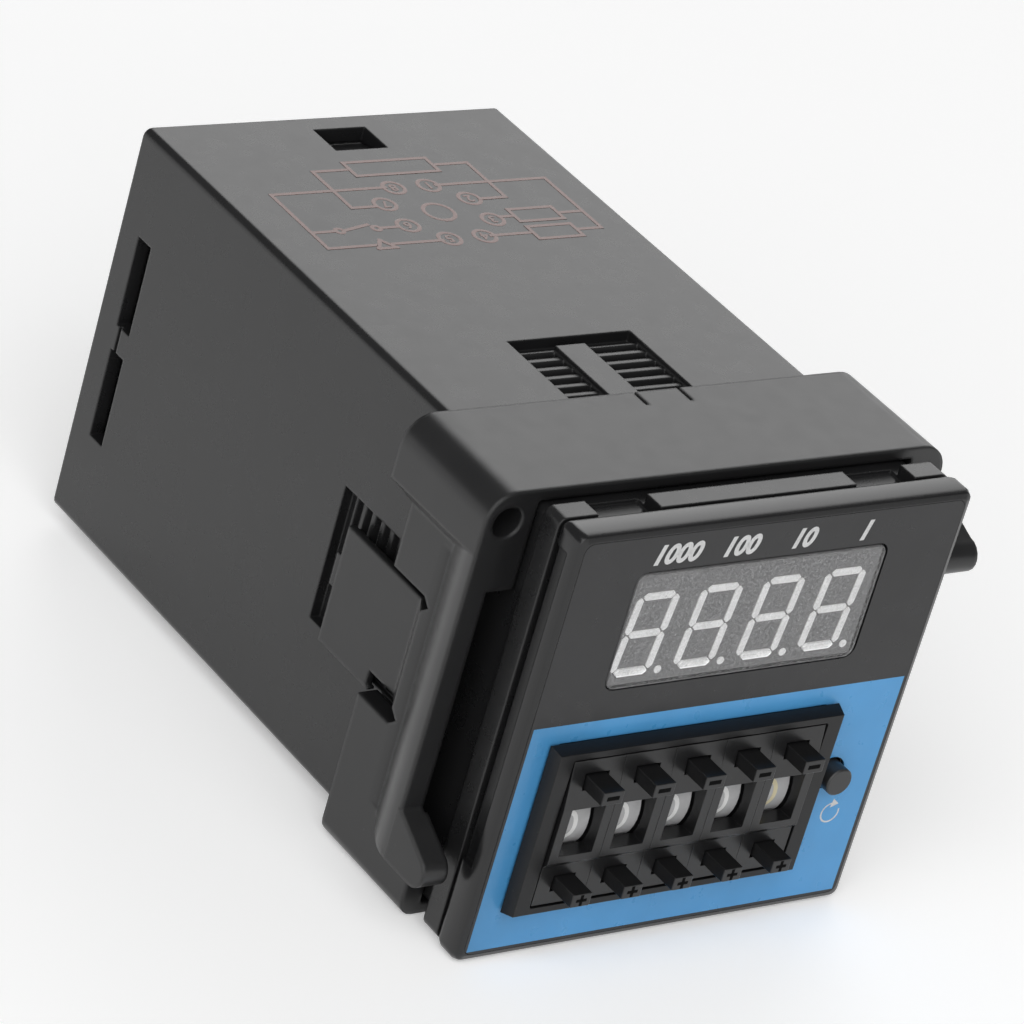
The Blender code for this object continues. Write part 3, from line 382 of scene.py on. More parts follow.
@dataclass(frozen=True)
class Moulding(Finish):
    """Black moulded plastic with a fine grain, cloudy gloss, soft edges and a little dust."""

    colour: Colour
    roughness: float
    grain: float = 0.12
    edge: float = 0.18 * MM
    shine: float = 0.5
    # how much lighter the edges are painted: partly wear, partly a painted highlight
    wear: float = 1.1
    dust: float = 0.03
    dust_colour: Colour = (0.55, 0.55, 0.53)

    def paint(self, graph: Graph) -> None:
        """Gives the material its look.

        Args:
            graph: the material's graph.
        """
        normal, edge = graph.rounded(self.edge)
        darker, lighter = tinted(self.colour, 0.9), tinted(self.colour, 1.12)
        colour = graph.mix(graph.cloud(110.0), darker, lighter)
        # The edges are painted lighter along the bevel mask: partly wear, partly a painted
        # highlight.
        colour = graph.mix(edge, colour, tinted(self.colour, self.wear, 0.001))
        colour = graph.dusted(colour, 2300.0, self.dust, self.dust_colour)
        smear = graph.noise(420.0, 4.0)
        rough = graph.spread(smear, self.roughness * 0.94, self.roughness * 1.07)
        graph.set(Base_Color=colour, Roughness=rough, Specular_IOR_Level=self.shine)
        graph.set(Normal=graph.grain(6000.0, self.grain, 0.02 * MM, normal))


@dataclass(frozen=True)
class PrintedFilm(Finish):
    """Thin printed film: black above a level, blue below it, with a very fine surface."""

    black: Colour
    blue: Colour
    level: float
    border: float
    dust: float = 0.04
    dust_colour: Colour = (0.6, 0.6, 0.6)

    def paint(self, graph: Graph) -> None:
        """Gives the material its look.

        Args:
            graph: the material's graph.
        """
        below = graph.maths("LESS_THAN", graph.axis("Z"), self.level)
        across = graph.maths("ABSOLUTE", graph.axis("X"), 0.0)
        inside = graph.maths("LESS_THAN", across, self.border)
        above_edge = graph.maths("GREATER_THAN", graph.axis("Z"), -self.border)
        share = graph.maths("MULTIPLY", graph.maths("MULTIPLY", below, inside), above_edge)
        cloud = graph.cloud(160.0)
        blue = graph.mix(cloud, tinted(self.blue, 0.95), tinted(self.blue, 1.04))
        # The blue is painted darker towards the film's left edge: painted shade.
        side = graph.spread(graph.axis("X"), 0.35, 0.0, -self.border, -self.border * 0.6)
        blue = graph.mix(side, blue, tinted(self.blue, 0.3))
        black = graph.mix(cloud, tinted(self.black, 0.85), tinted(self.black, 1.2))
        colour = graph.mix(share, black, blue)
        colour = graph.dusted(colour, 2600.0, self.dust, self.dust_colour)
        rough = graph.spread(graph.noise(500.0, 3.0), 0.26, 0.36)
        graph.set(Base_Color=colour, Roughness=rough, Normal=graph.grain(7000.0, 0.1))


@dataclass(frozen=True)
class FrostedWindow(Finish):
    """Smoked window with a frosted, slightly sparkling face that shows what is behind it."""

    colour: Colour
    cover: float
    sparkle: float = 2.6

    def paint(self, graph: Graph) -> None:
        """Gives the material its look.

        Args:
            graph: the material's graph.
        """
        frost = graph.noise(3900.0, 4.0)
        # The specks that lift the colour are painted glints.
        glitter = graph.spread(frost, 0.0, 0.8, 0.5, 0.7)
        base = graph.mix(glitter, self.colour, tinted(self.colour, self.sparkle))
        cloud = graph.spread(graph.noise(260.0, 3.0), 0.9, 1.1)
        patchy = graph.spread(frost, self.cover * 0.5, self.cover * 1.7, 0.36, 0.68)
        cover = graph.maths("MULTIPLY", patchy, cloud)
        graph.set(Base_Color=base, Alpha=cover, Roughness=0.34, IOR=1.45)
        graph.set(Normal=graph.bump(frost, 0.12, 0.01 * MM))


@dataclass(frozen=True)
class Ink(Finish):
    """Screen-printed ink, a little uneven, thinner in places where the plastic shows through."""

    colour: Colour
    roughness: float = 0.5
    thin: float = 0.0
    under: Colour = (0.012, 0.012, 0.013)
    shine: float = 0.5

    def paint(self, graph: Graph) -> None:
        """Gives the material its look.

        Args:
            graph: the material's graph.
        """
        colour = graph.mix(graph.cloud(900.0), tinted(self.colour, 0.9), self.colour)
        if self.thin:
            gap = graph.spread(graph.noise(4200.0, 3.0), 0.0, self.thin, 0.48, 0.72)
            colour = graph.mix(gap, colour, self.under)
        graph.set(Base_Color=colour, Roughness=self.roughness, Specular_IOR_Level=self.shine)
        graph.set(Normal=graph.grain(5000.0, 0.15))


@dataclass(frozen=True)
class PaleMoulding(Finish):
    """Light moulded plastic of a number wheel or display block, with faint cloudiness."""

    colour: Colour
    roughness: float = 0.5

    def paint(self, graph: Graph) -> None:
        """Gives the material its look.

        Args:
            graph: the material's graph.
        """
        darker, lighter = tinted(self.colour, 0.92), tinted(self.colour, 1.06)
        colour = graph.mix(graph.cloud(700.0), darker, lighter)
        graph.set(Base_Color=colour, Roughness=self.roughness, Normal=graph.grain(5000.0, 0.15))


@dataclass(frozen=True)
class PlatedMetal(Finish):
    """Plated contact metal with lengthwise drawing marks and a faint tarnish."""

    colour: Colour
    roughness: float

    def paint(self, graph: Graph) -> None:
        """Gives the material its look.

        Args:
            graph: the material's graph.
        """
        stretched = graph.mapped("Scale", (1.0, 0.04, 1.0))
        marks = graph.texture("ShaderNodeTexNoise", stretched, Scale=9000.0)
        tarnish = graph.spread(graph.noise(900.0, 3.0), 0.0, 0.5)
        colour = graph.mix(tarnish, self.colour, tinted(self.colour, 0.7))
        rough = graph.spread(marks, self.roughness * 0.8, self.roughness * 1.3)
        graph.set(Base_Color=colour, Metallic=1.0, Roughness=rough)
        graph.set(Normal=graph.bump(marks, 0.12, 0.01 * MM))


@dataclass(frozen=True)
class CircuitBoard(Finish):
    """Green solder mask over copper tracks on a woven board."""

    mask: Colour
    track: Colour

    def paint(self, graph: Graph) -> None:
        """Gives the material its look.

        Args:
            graph: the material's graph.
        """
        turned = graph.mapped("Rotation", (0.0, math.pi / 2, 0.0))
        tracks = graph.texture("ShaderNodeTexBrick", turned, Scale=260.0, Mortar_Size=0.08)
        base = graph.mix(graph.cloud(2500.0, 2.0), tinted(self.mask, 0.85), self.mask)
        graph.set(Base_Color=graph.mix(tracks, base, self.track), Roughness=0.4)
        graph.set(Normal=graph.bump(tracks, 0.3, 0.03 * MM))


@dataclass(frozen=True)
class Laminations(Finish):
    """Varnished steel sheets stacked along X."""

    colour: Colour

    def paint(self, graph: Graph) -> None:
        """Gives the material its look.

        Args:
            graph: the material's graph.
        """
        sheets = graph.texture("ShaderNodeTexWave", Scale=650.0)
        graph.set(Base_Color=graph.mix(sheets, tinted(self.colour, 0.45), self.colour))
        graph.set(Metallic=0.8, Roughness=graph.spread(graph.noise(800.0), 0.35, 0.55))
        graph.set(Normal=graph.bump(sheets, 0.4, 0.04 * MM))


@dataclass(frozen=True)
class Sleeve(Finish):
    """Shrunk sleeve of a capacitor with a pale stripe along it."""

    colour: Colour
    stripe: Colour
    stripe_level: float = -4.5 * MM

    def paint(self, graph: Graph) -> None:
        """Gives the material its look.

        Args:
            graph: the material's graph.
        """
        striped = graph.maths("GREATER_THAN", graph.axis("Z"), self.stripe_level)
        graph.set(Base_Color=graph.mix(striped, self.colour, self.stripe))
        graph.set(Roughness=graph.spread(graph.noise(600.0, 3.0), 0.28, 0.42))
        graph.set(Normal=graph.grain(900.0, 0.15, 0.05 * MM))


@dataclass
class Paintbox:
    """Every finish of the relay, made once."""

    case: Finish = Moulding("case_moulding", (0.012, 0.012, 0.0125), 0.28, edge=0.3 * MM)
    adapter: Finish = Moulding("adapter_moulding", (0.014, 0.014, 0.0145), 0.31,
                               grain=0.06, edge=0.6 * MM)
    bezel: Finish = Moulding("bezel_moulding", (0.009, 0.009, 0.0095), 0.22,
                             grain=0.04, edge=0.2 * MM)
    switch: Finish = Moulding("switch_moulding", (0.009, 0.009, 0.0095), 0.3,
                              grain=0.08, edge=0.1 * MM)
    frame: Finish = Moulding("frame_moulding", (0.008, 0.008, 0.0085), 0.34,
                             grain=0.08, edge=0.12 * MM, shine=0.3)
    button: Finish = Moulding("reset_moulding", (0.022, 0.022, 0.0225), 0.36,
                              grain=0.1, edge=0.12 * MM)
    film: Finish = PrintedFilm("front_print", (0.010, 0.010, 0.011), (0.078, 0.33, 0.66),
                               level=2.8 * MM, border=22.8 * MM)
    window: Finish = FrostedWindow("window_frost", (0.30, 0.30, 0.302), 0.18)
    rim: Finish = PaleMoulding("window_rim", (0.22, 0.22, 0.222))
    block: Finish = PaleMoulding("display_block", (0.20, 0.20, 0.202))
    bars: Finish = PaleMoulding("display_bar", (0.95, 0.95, 0.95))
    wheel: Finish = PaleMoulding("wheel_grey", (0.50, 0.50, 0.505))
    numeral: Finish = Ink("wheel_white", (0.92, 0.92, 0.91))
    old_numeral: Finish = Ink("wheel_cream", (0.80, 0.72, 0.48))
    white: Finish = Ink("print_white", (0.68, 0.68, 0.68), thin=0.2)
    brown: Finish = Ink("print_brown", (0.18, 0.088, 0.074), 0.26, thin=0.15)
    sign: Finish = Ink("sign_black", (0.003, 0.003, 0.003), 0.9, shine=0.1)
    pin: Finish = PlatedMetal("pin_plating", (0.78, 0.74, 0.64), 0.26)
    board: Finish = CircuitBoard("board_mask", (0.03, 0.16, 0.06), (0.10, 0.26, 0.08))
    core: Finish = Laminations("core_sheets", (0.35, 0.35, 0.36))
    relay_cover: Finish = PaleMoulding("relay_cover_blue", (0.05, 0.09, 0.2), 0.35)
    sleeve: Finish = Sleeve("capacitor_sleeve", (0.02, 0.02, 0.06), (0.5, 0.5, 0.5))
    _made: dict[str, bpy.types.Material] = field(default_factory=dict)

    def get(self, finish: str) -> bpy.types.Material:
        """Gives the material of a finish.

        Args:
            finish: the name of the finish's field.

        Returns:
            Its material, made at the first call.
        """
        if finish not in self._made:
            self._made[finish] = getattr(self, finish).make()
        return self._made[finish]


# Modelling


def deselect() -> None:
    """Leaves nothing selected, so that an operator acts on the next piece alone."""
    if bpy.context.object and bpy.context.object.mode != "OBJECT":
        bpy.ops.object.mode_set(mode="OBJECT")
    bpy.ops.object.select_all(action="DESELECT")


def choose(pieces: Sequence[bpy.types.Object]) -> None:
    """Selects these pieces alone.

    Args:
        pieces: the pieces, of which the first becomes the active one.
    """
    deselect()
    for piece in pieces:
        piece.select_set(True)
    bpy.context.view_layer.objects.active = pieces[0]


def settle(piece: bpy.types.Object, name: str) -> bpy.types.Object:
    """Puts a piece's place into its mesh and names it.

    Args:
        piece: a mesh object.
        name: its new name.

    Returns:
        The piece, with its object at the origin.
    """
    choose([piece])
    bpy.ops.object.transform_apply(location=True, rotation=True, scale=True)
    piece.name = name
    piece.data.name = name
    return piece


def join(pieces: Sequence[bpy.types.Object], name: str) -> bpy.types.Object:
    """Joins several pieces into one.

    Args:
        pieces: mesh objects.
        name: the joined piece's name.

    Returns:
        The joined piece.
    """
    choose(pieces)
    if len(pieces) > 1:
        bpy.ops.object.join()
    return settle(pieces[0], name)


def duplicate(piece: bpy.types.Object) -> bpy.types.Object:
    """Copies a piece with its mesh.

    Args:
        piece: a mesh object.

    Returns:
        The copy, in the scene.
    """
    copy = piece.copy()
    copy.data = piece.data.copy()
    bpy.context.scene.collection.objects.link(copy)
    return copy


def copies(model: bpy.types.Object, name: str, places: Sequence[Matrix]) -> list[bpy.types.Object]:
    """Copies a model to each of its places and removes the model.

    Args:
        model: the piece that is copied.
        name: the copies' name, which their number follows.
        places: where each copy goes.

    Returns:
        The copies.
    """
    made = []
    for number, place in enumerate(places, start=1):
        copy = duplicate(model)
        copy.data.transform(place)
        made.append(settle(copy, f"{name}_{number}"))
    bpy.data.objects.remove(model, do_unlink=True)
    return made


def bar(centre: Sequence[float], size: Sequence[float], turn: float = 0.0) -> bpy.types.Object:
    """Makes a thin bar.

    Args:
        centre: the bar's middle.
        size: its lengths along X, Y and Z before it turns.
        turn: its turn about Z in radians.

    Returns:
        The bar.
    """
    deselect()
    bpy.ops.mesh.primitive_cube_add(size=1.0, location=centre, rotation=(0.0, 0.0, turn))
    made = bpy.context.object
    made.scale = size
    return made


def ring(centre: Sequence[float], radius: float, width: float, depth: float) -> bpy.types.Object:
    """Makes a flat printed ring that lies in the XY plane.

    Args:
        centre: the ring's middle.
        radius: the radius of its middle line.
        width: the width of its line.
        depth: its thickness.

    Returns:
        The ring.
    """
    deselect()
    bpy.ops.mesh.primitive_torus_add(location=centre, major_radius=radius, minor_radius=width / 2,
                                     major_segments=36, minor_segments=6)
    made = bpy.context.object
    made.scale = (1.0, 1.0, depth / width)
    return made


@dataclass(frozen=True)
class Lettering:
    """Numbers in one weight: their height, slant, boldness and how far they stand off."""

    height: float
    slant: float = 0.0
    bold: float = 0.0
    narrow: float = 1.0
    depth: float = 0.03 * MM

    def flat(self, words: str) -> bpy.types.Object:
        """Makes the words as a thin solid in the XY plane, centred on the origin.

        Args:
            words: what it reads.

        Returns:
            The solid.
        """
        deselect()
        bpy.ops.object.text_add()
        made = bpy.context.object
        letters = made.data
        letters.body = words
        letters.size = self.height * FONT_SIZE
        letters.shear = self.slant
        letters.offset = self.bold
        letters.resolution_u = 5
        letters.extrude = self.depth / 2
        bpy.ops.object.convert(target="MESH")
        made = bpy.context.object
        corners = [vertex.co for vertex in made.data.vertices]
        low = Vector([min(corner[axis] for corner in corners) for axis in range(3)])
        high = Vector([max(corner[axis] for corner in corners) for axis in range(3)])
        middle = (low + high) / 2
        grow = self.height / (high.y - low.y)
        made.data.transform(Matrix.Translation(-middle))
        made.data.transform(Matrix.Diagonal((grow * self.narrow, grow, 1.0, 1.0)))
        choose([made])
        bpy.ops.object.mode_set(mode="EDIT")
        bpy.ops.mesh.select_all(action="SELECT")
        bpy.ops.mesh.remove_doubles(threshold=LETTER_WELD)
        bpy.ops.mesh.normals_make_consistent(inside=False)
        bpy.ops.object.mode_set(mode="OBJECT")
        return made

    def printed(self, words: str, centre: Sequence[float], facing: Facing) -> bpy.types.Object:
        """Makes the words on a face of the relay.

        Args:
            words: what they read.
            centre: their middle on the face.
            facing: which way the face looks.

        Returns:
            The words, not yet named.
        """
        made = self.flat(words)
        made.data.transform(Matrix.Translation(Vector(centre)) @ facing.turn())
        return made


def finish(piece: bpy.types.Object, material: bpy.types.Material, body: str, slot: str) -> None:
    """Dresses a new piece and lets it ride on a body.

    Args:
        piece: the piece.
        material: its material.
        body: the body that carries it.
        slot: not used.
    """
    piece.data.materials.clear()
    piece.data.materials.append(material)
    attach(piece, body)
    LOG.info("piece %s rides on %s", piece.name, body)


@dataclass
class Assembly:
    """A group of pieces that share the frame's nodes and the paintbox."""

    nodes: dict[str, bpy.types.Object]
    paint: Paintbox

    def dress_nodes(self, names: Iterable[str], finish_name: str) -> None:
        """Gives carried-over nodes their material.

        Args:
            names: the nodes.
            finish_name: the finish in the paintbox.
        """
        for name in names:
            mesh = self.nodes[name].data
            mesh.materials.clear()
            mesh.materials.append(self.paint.get(finish_name))
            LOG.info("node %s has the finish %s", name, finish_name)

    def smooth_nodes(self, names: Iterable[str], finish_name: str, edge: float = 0.0) -> None:
        """Dresses nodes and shows each by a welded copy, whose round faces shade smoothly.

        Args:
            names: the nodes.
            finish_name: the finish in the paintbox.
            edge: the radius that the copy's edges are rounded by, or nothing.
        """
        names = list(names)
        self.dress_nodes(names, finish_name)
        for name in names:
            copy = settle(duplicate(self.nodes[name]), f"{name}_finished")
            bpy.ops.mesh.customdata_custom_splitnormals_clear()
            bpy.ops.object.mode_set(mode="EDIT")
            bpy.ops.mesh.select_all(action="SELECT")
            bpy.ops.mesh.remove_doubles(threshold=WELD)
            if edge:
                bpy.ops.mesh.dissolve_limited(angle_limit=FLAT_ANGLE)
            bpy.ops.object.mode_set(mode="OBJECT")
            if edge:
                self.round_edges(copy, edge)
            self.shade(copy)
            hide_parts(name)

    @staticmethod
    def shade(piece: bpy.types.Object) -> None:
        """Shades a piece's round faces smoothly and keeps its flat faces flat.

        Args:
            piece: the active piece.
        """
        bpy.ops.object.shade_smooth_by_angle(angle=SMOOTH_ANGLE)
        weights = piece.modifiers.new("flat_faces", "WEIGHTED_NORMAL")
        weights.mode = "FACE_AREA"
        weights.weight = FACE_WEIGHT
        weights.keep_sharp = True
        bpy.ops.object.modifier_apply(modifier=weights.name)

    def fill_opening(self, node: str, finish_name: str, overlap: float) -> bpy.types.Object:
        """Shows a node by a copy that is a hair wider and taller, so that no gap shows round it.

        Args:
            node: the node.
            finish_name: the finish in the paintbox.
            overlap: how far the copy reaches past the node on each side.

        Returns:
            The copy.
        """
        self.smooth_nodes([node], finish_name)
        piece = bpy.data.objects[f"{node}_finished"]
        low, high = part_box(node)
        size = high - low
        growth = (1.0 + 2 * overlap / size.x, 1.0, 1.0 + 2 * overlap / size.z, 1.0)
        back = Matrix.Translation((low + high) / 2)
        piece.data.transform(back @ Matrix.Diagonal(growth) @ back.inverted())
        return piece

    @staticmethod
    def round_edges(piece: bpy.types.Object, edge: float) -> None:
        """Rounds a piece's sharp edges.

        Args:
            piece: the active piece.
            edge: the radius of its edges.
        """
        rounding = piece.modifiers.new("edges", "BEVEL")
        rounding.width = edge
        rounding.segments = 2
        rounding.limit_method = "ANGLE"
        rounding.angle_limit = SHARP_ANGLE
        bpy.ops.object.modifier_apply(modifier=rounding.name)


@dataclass
class Housing(Assembly):
    """Case, bezel and plug base, with the wiring print on top and numbers beside the pins."""

    line: float = 0.46 * MM
    depth: float = 0.03 * MM
    rise_share: float = 0.3
    stagger_share: float = 0.12
    layers: int = 4
    circle: float = 1.2 * MM
    spread: float = 5.75 * MM
    first_angle: float = 67.5
    middle: Point = (0.9 * MM, 54.8 * MM)
    key_circle: float = 1.7 * MM
    key_notch: Point = (0.9 * MM, 0.5 * MM)
    contact: float = 0.45 * MM
    digit_height: float = 1.35 * MM
    digit_bold: float = 0.05 * MM
    tube_start: float = 60 * MM
    boss_ring: float = 12 * MM
    pin_letters: Lettering = Lettering(1.7 * MM, bold=0.02 * MM, depth=0.16 * MM)
    pin_letter_ring: float = 13.1 * MM
    pin_letter_rise: float = 0.05 * MM

    def stroke(self, points: Sequence[Point], level: float) -> list[bpy.types.Object]:
        """Draws a printed line along points.

        Args:
            points: places on the top face in millimetres.
            level: the height of the top face.

        Returns:
            One thin bar for each stretch.
        """
        bars = []
        for (x0, y0), (x1, y1) in zip(points, points[1:]):
            run = math.hypot(x1 - x0, y1 - y0) * MM
            lift = self.depth * self.stagger_share * (len(bars) % self.layers)
            centre = ((x0 + x1) / 2 * MM, (y0 + y1) / 2 * MM, level + lift)
            turn = math.atan2(y1 - y0, x1 - x0)
            bars.append(bar(centre, (run + self.line, self.line, self.depth), turn))
        return bars

    def build_wiring_print(self) -> bpy.types.Object:
        """Prints a plain eight-pin wiring diagram on the top face.

        Returns:
            The print as one piece.
        """
        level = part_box("case")[1].z - self.flange_step() + self.depth * self.rise_share
        parts = []
        for route in WIRING_ROUTES:
            parts += self.stroke(route, level)
        for x, y in WIRING_CONTACTS:
            parts.append(ring((x * MM, y * MM, level), self.contact, self.line, self.depth))
        letters = Lettering(self.digit_height, bold=self.digit_bold, depth=self.depth)
        for index in range(PINS):
            angle = math.radians(self.first_angle - 360 / PINS * index)
            x = self.middle[0] + self.spread * math.cos(angle)
            y = self.middle[1] + self.spread * math.sin(angle)
            parts.append(ring((x, y, level), self.circle, self.line, self.depth))
            parts.append(letters.printed(str(index + 1), (x, y, level), Facing.TOP_FROM_REAR))
        key = (self.middle[0], self.middle[1], level)
        parts.append(ring(key, self.key_circle, self.line, self.depth))
        notch = (key[0], key[1] - self.key_circle, level)
        parts.append(bar(notch, (*self.key_notch, self.depth)))
        return join(parts, "wiring_print")

    def flange_step(self) -> float:
        """Returns how far the flange stands above the top face of the case tube."""
        tube = max(v.co.z for v in self.nodes["case"].data.vertices if v.co.y > self.tube_start)
        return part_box("case")[1].z - tube

    def build_pin_numbers(self) -> bpy.types.Object:
        """Raises a number beside each contact pin on the boss.

        Returns:
            The numbers as one piece.
        """
        face = max(v.co.y for v in self.nodes["rear_base"].data.vertices
                   if math.hypot(v.co.x, v.co.z) > self.boss_ring)
        parts = []
        for number in range(1, PINS + 1):
            low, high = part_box(f"contact_pin_{number}")
            centre = (low + high) / 2
            out = Vector((centre.x, 0.0, centre.z)).normalized() * self.pin_letter_ring
            place = (out.x, face + self.pin_letter_rise, out.z)
            parts.append(self.pin_letters.printed(str(number), place, Facing.REAR))
        return join(parts, "pin_numbers")

    def dress(self) -> None:
        """Gives the housing its finishes and prints."""
        self.smooth_nodes(["case", "rear_base"], "case")
        self.smooth_nodes(["bezel"], "bezel")
        self.smooth_nodes([f"contact_pin_{number}" for number in range(1, PINS + 1)], "pin")
        finish(self.build_wiring_print(), self.paint.get("brown"), MAIN_BODY, "black_case")
        finish(self.build_pin_numbers(), self.paint.get("case"), MAIN_BODY, "black_case")


@dataclass
class FrontPanel(Assembly):
    """Printed film, window, display bars, place numbers and the sign by the reset button."""

    first_digit_x: float = -12.7 * MM
    digit_pitch: float = 7.62 * MM
    digit_middle_z: float = 12.15 * MM
    digit_width: float = 4.25 * MM
    digit_half: float = 4.15 * MM
    bar_width: float = 0.78 * MM
    bar_depth: float = 0.12 * MM
    lean: float = 0.105
    bar_rise_share: float = 0.4
    bar_point_share: float = 0.4
    across_cut_share: float = 0.75
    along_cut_share: float = 0.25
    point_x: float = 3.0 * MM
    point_z: float = -4.4 * MM
    point_radius: float = 0.42 * MM
    letters: Lettering = Lettering(2.25 * MM, slant=0.3, bold=0.13 * MM, narrow=0.98)
    number_z: float = 21.0 * MM
    number_shift: float = 1.1 * MM
    film_lift: float = 0.01 * MM
    overlap: float = 0.12 * MM
    pane_depth: float = 0.2 * MM
    block_setback: float = 0.22 * MM
    reset_sign: Point = (18.9 * MM, -12.9 * MM)
    sign_radius: float = 1.1 * MM
    sign_line: float = 0.28 * MM
    sign_gap: Point = (20.0, 80.0)
    sign_tip: float = 0.62 * MM
    sign_tip_depth: float = 0.2 * MM
    sign_flatness: float = 0.12

    def display_bar(self, middle: Point, length: float, upright: bool) -> bpy.types.Object:
        """Makes one bar of a digit, with pointed ends, in the XY plane.

        Args:
            middle: the bar's middle.
            length: its length with its points.
            upright: True for a bar that stands.

        Returns:
            The bar.
        """
        turn = math.pi / 2 if upright else 0.0
        made = bar((0.0, 0.0, 0.0), (length, self.bar_width, self.bar_depth), turn)
        settle(made, "bar")
        bpy.ops.object.mode_set(mode="EDIT")
        bpy.ops.mesh.select_all(action="DESELECT")
        bpy.ops.object.mode_set(mode="OBJECT")
        for edge in made.data.edges:
            first, second = (made.data.vertices[corner].co for corner in edge.vertices)
            edge.select = abs(first.z - second.z) > self.bar_depth / 2
        bpy.ops.object.mode_set(mode="EDIT")
        bpy.ops.mesh.select_mode(type="EDGE")
        bpy.ops.mesh.bevel(offset=self.bar_width * self.bar_point_share, segments=1,
                           affect="EDGES")
        bpy.ops.object.mode_set(mode="OBJECT")
        made.data.transform(Matrix.Translation((middle[0], middle[1], 0.0)))
        return made

    def build_digit(self) -> bpy.types.Object:
        """Makes the seven bars and the point of one digit round the origin.

        Returns:
            The digit in the XY plane.
        """
        side = self.digit_width / 2
        half = self.digit_half
        across = self.digit_width - self.bar_width * self.across_cut_share
        along = half - self.bar_width * self.along_cut_share
        parts = [self.display_bar((0.0, level), across, False) for level in (-half, 0.0, half)]
        for x in (-side, side):
            for y in (-half / 2, half / 2):
                parts.append(self.display_bar((x, y), along, True))
        digit = join(parts, "digit")
        slope = Matrix.Identity(4)
        slope[0][1] = self.lean
        digit.data.transform(slope)
        deselect()
        bpy.ops.mesh.primitive_cylinder_add(vertices=20, radius=self.point_radius,
                                            depth=self.bar_depth,
                                            location=(self.point_x, self.point_z, 0.0))
        return join([digit, bpy.context.object], "digit")

    def build_digits(self) -> list[bpy.types.Object]:
        """Copies the digit to its four places on the display block.

        Returns:
            The four digits.
        """
        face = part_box("display_window")[0].y + self.block_setback
        level = face - self.bar_depth * self.bar_rise_share
        places = []
        for index in range(len(PLACE_VALUES)):
            x = self.first_digit_x + self.digit_pitch * index
            place = Matrix.Translation((x, level, self.digit_middle_z))
            places.append(place @ Facing.FRONT.turn())
        return copies(self.build_digit(), "display_digit", places)

    def build_window(self) -> None:
        """Shows the window as a frosted pane with the display block close behind it."""
        pane = self.fill_opening("display_window", "window", self.overlap)
        pane.data.materials.append(self.paint.get("rim"))
        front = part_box("display_window")[0].y
        for vertex in pane.data.vertices:
            vertex.co.y = min(vertex.co.y, front + self.pane_depth)
        for face in pane.data.polygons:
            face.material_index = 0 if abs(face.normal.y) > 0.5 else 1
        block = self.fill_opening("display_module", "block", self.overlap)
        block_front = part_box("display_module")[0].y
        for vertex in block.data.vertices:
            if vertex.co.y < block_front + WELD:
                vertex.co.y = front + self.block_setback

    def build_place_numbers(self) -> bpy.types.Object:
        """Prints each digit's place value above the window.

        Returns:
            The four numbers as one piece.
        """
        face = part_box("front_film")[0].y
        parts = []
        for index, words in enumerate(PLACE_VALUES):
            x = self.first_digit_x + self.digit_pitch * index + self.number_shift
            parts.append(self.letters.printed(words, (x, face, self.number_z), Facing.FRONT))
        return join(parts, "place_numbers")

    def build_reset_sign(self) -> bpy.types.Object:
        """Prints a round arrow under the reset button.

        Returns:
            The sign.
        """
        deselect()
        bpy.ops.mesh.primitive_torus_add(major_radius=self.sign_radius,
                                         minor_radius=self.sign_line / 2,
                                         major_segments=40, minor_segments=6)
        arrow = settle(bpy.context.object, "arrow")
        bpy.ops.object.mode_set(mode="EDIT")
        bpy.ops.mesh.select_all(action="SELECT")
        bpy.ops.mesh.bisect(plane_co=(0.0, 0.0, 0.0), plane_no=(0.35, -1.0, 0.0), use_fill=False)
        bpy.ops.mesh.select_all(action="DESELECT")
        bpy.ops.object.mode_set(mode="OBJECT")
        gap_start, gap_end = self.sign_gap
        for part in arrow.data.polygons:
            angle = math.degrees(math.atan2(part.center.y, part.center.x))
            part.select = gap_start < angle < gap_end
        bpy.ops.object.mode_set(mode="EDIT")
        bpy.ops.mesh.delete(type="FACE")
        bpy.ops.mesh.select_mode(type="EDGE")
        bpy.ops.mesh.select_non_manifold()
        bpy.ops.mesh.fill_holes(sides=8)
        bpy.ops.object.mode_set(mode="OBJECT")
        deselect()
        end = math.radians(gap_end)
        tip = (self.sign_radius * math.cos(end), self.sign_radius * math.sin(end), 0.0)
        bpy.ops.mesh.primitive_cylinder_add(vertices=3, radius=self.sign_tip,
                                            depth=self.sign_tip_depth, location=tip,
                                            rotation=(0.0, 0.0, end - math.pi))
        sign = join([arrow, bpy.context.object], "reset_sign")
        sign.data.transform(Matrix.Diagonal((1.0, 1.0, self.sign_flatness, 1.0)))
        place = (self.reset_sign[0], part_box("front_film")[0].y, self.reset_sign[1])
        sign.data.transform(Matrix.Translation(place) @ Facing.FRONT.turn())
        return sign

    def dress(self) -> None:
        """Gives the front its finishes, digits and prints."""
        film = self.fill_opening("front_film", "film", self.overlap)
        film.data.transform(Matrix.Translation((0.0, -self.film_lift, 0.0)))
        self.build_window()
        self.smooth_nodes(["reset_button"], "button")
        for digit in self.build_digits():
            finish(digit, self.paint.get("bars"), MAIN_BODY, "grey_module")
        finish(self.build_place_numbers(), self.paint.get("white"), MAIN_BODY, "blue_film")
        finish(self.build_reset_sign(), self.paint.get("white"), MAIN_BODY, "blue_film")


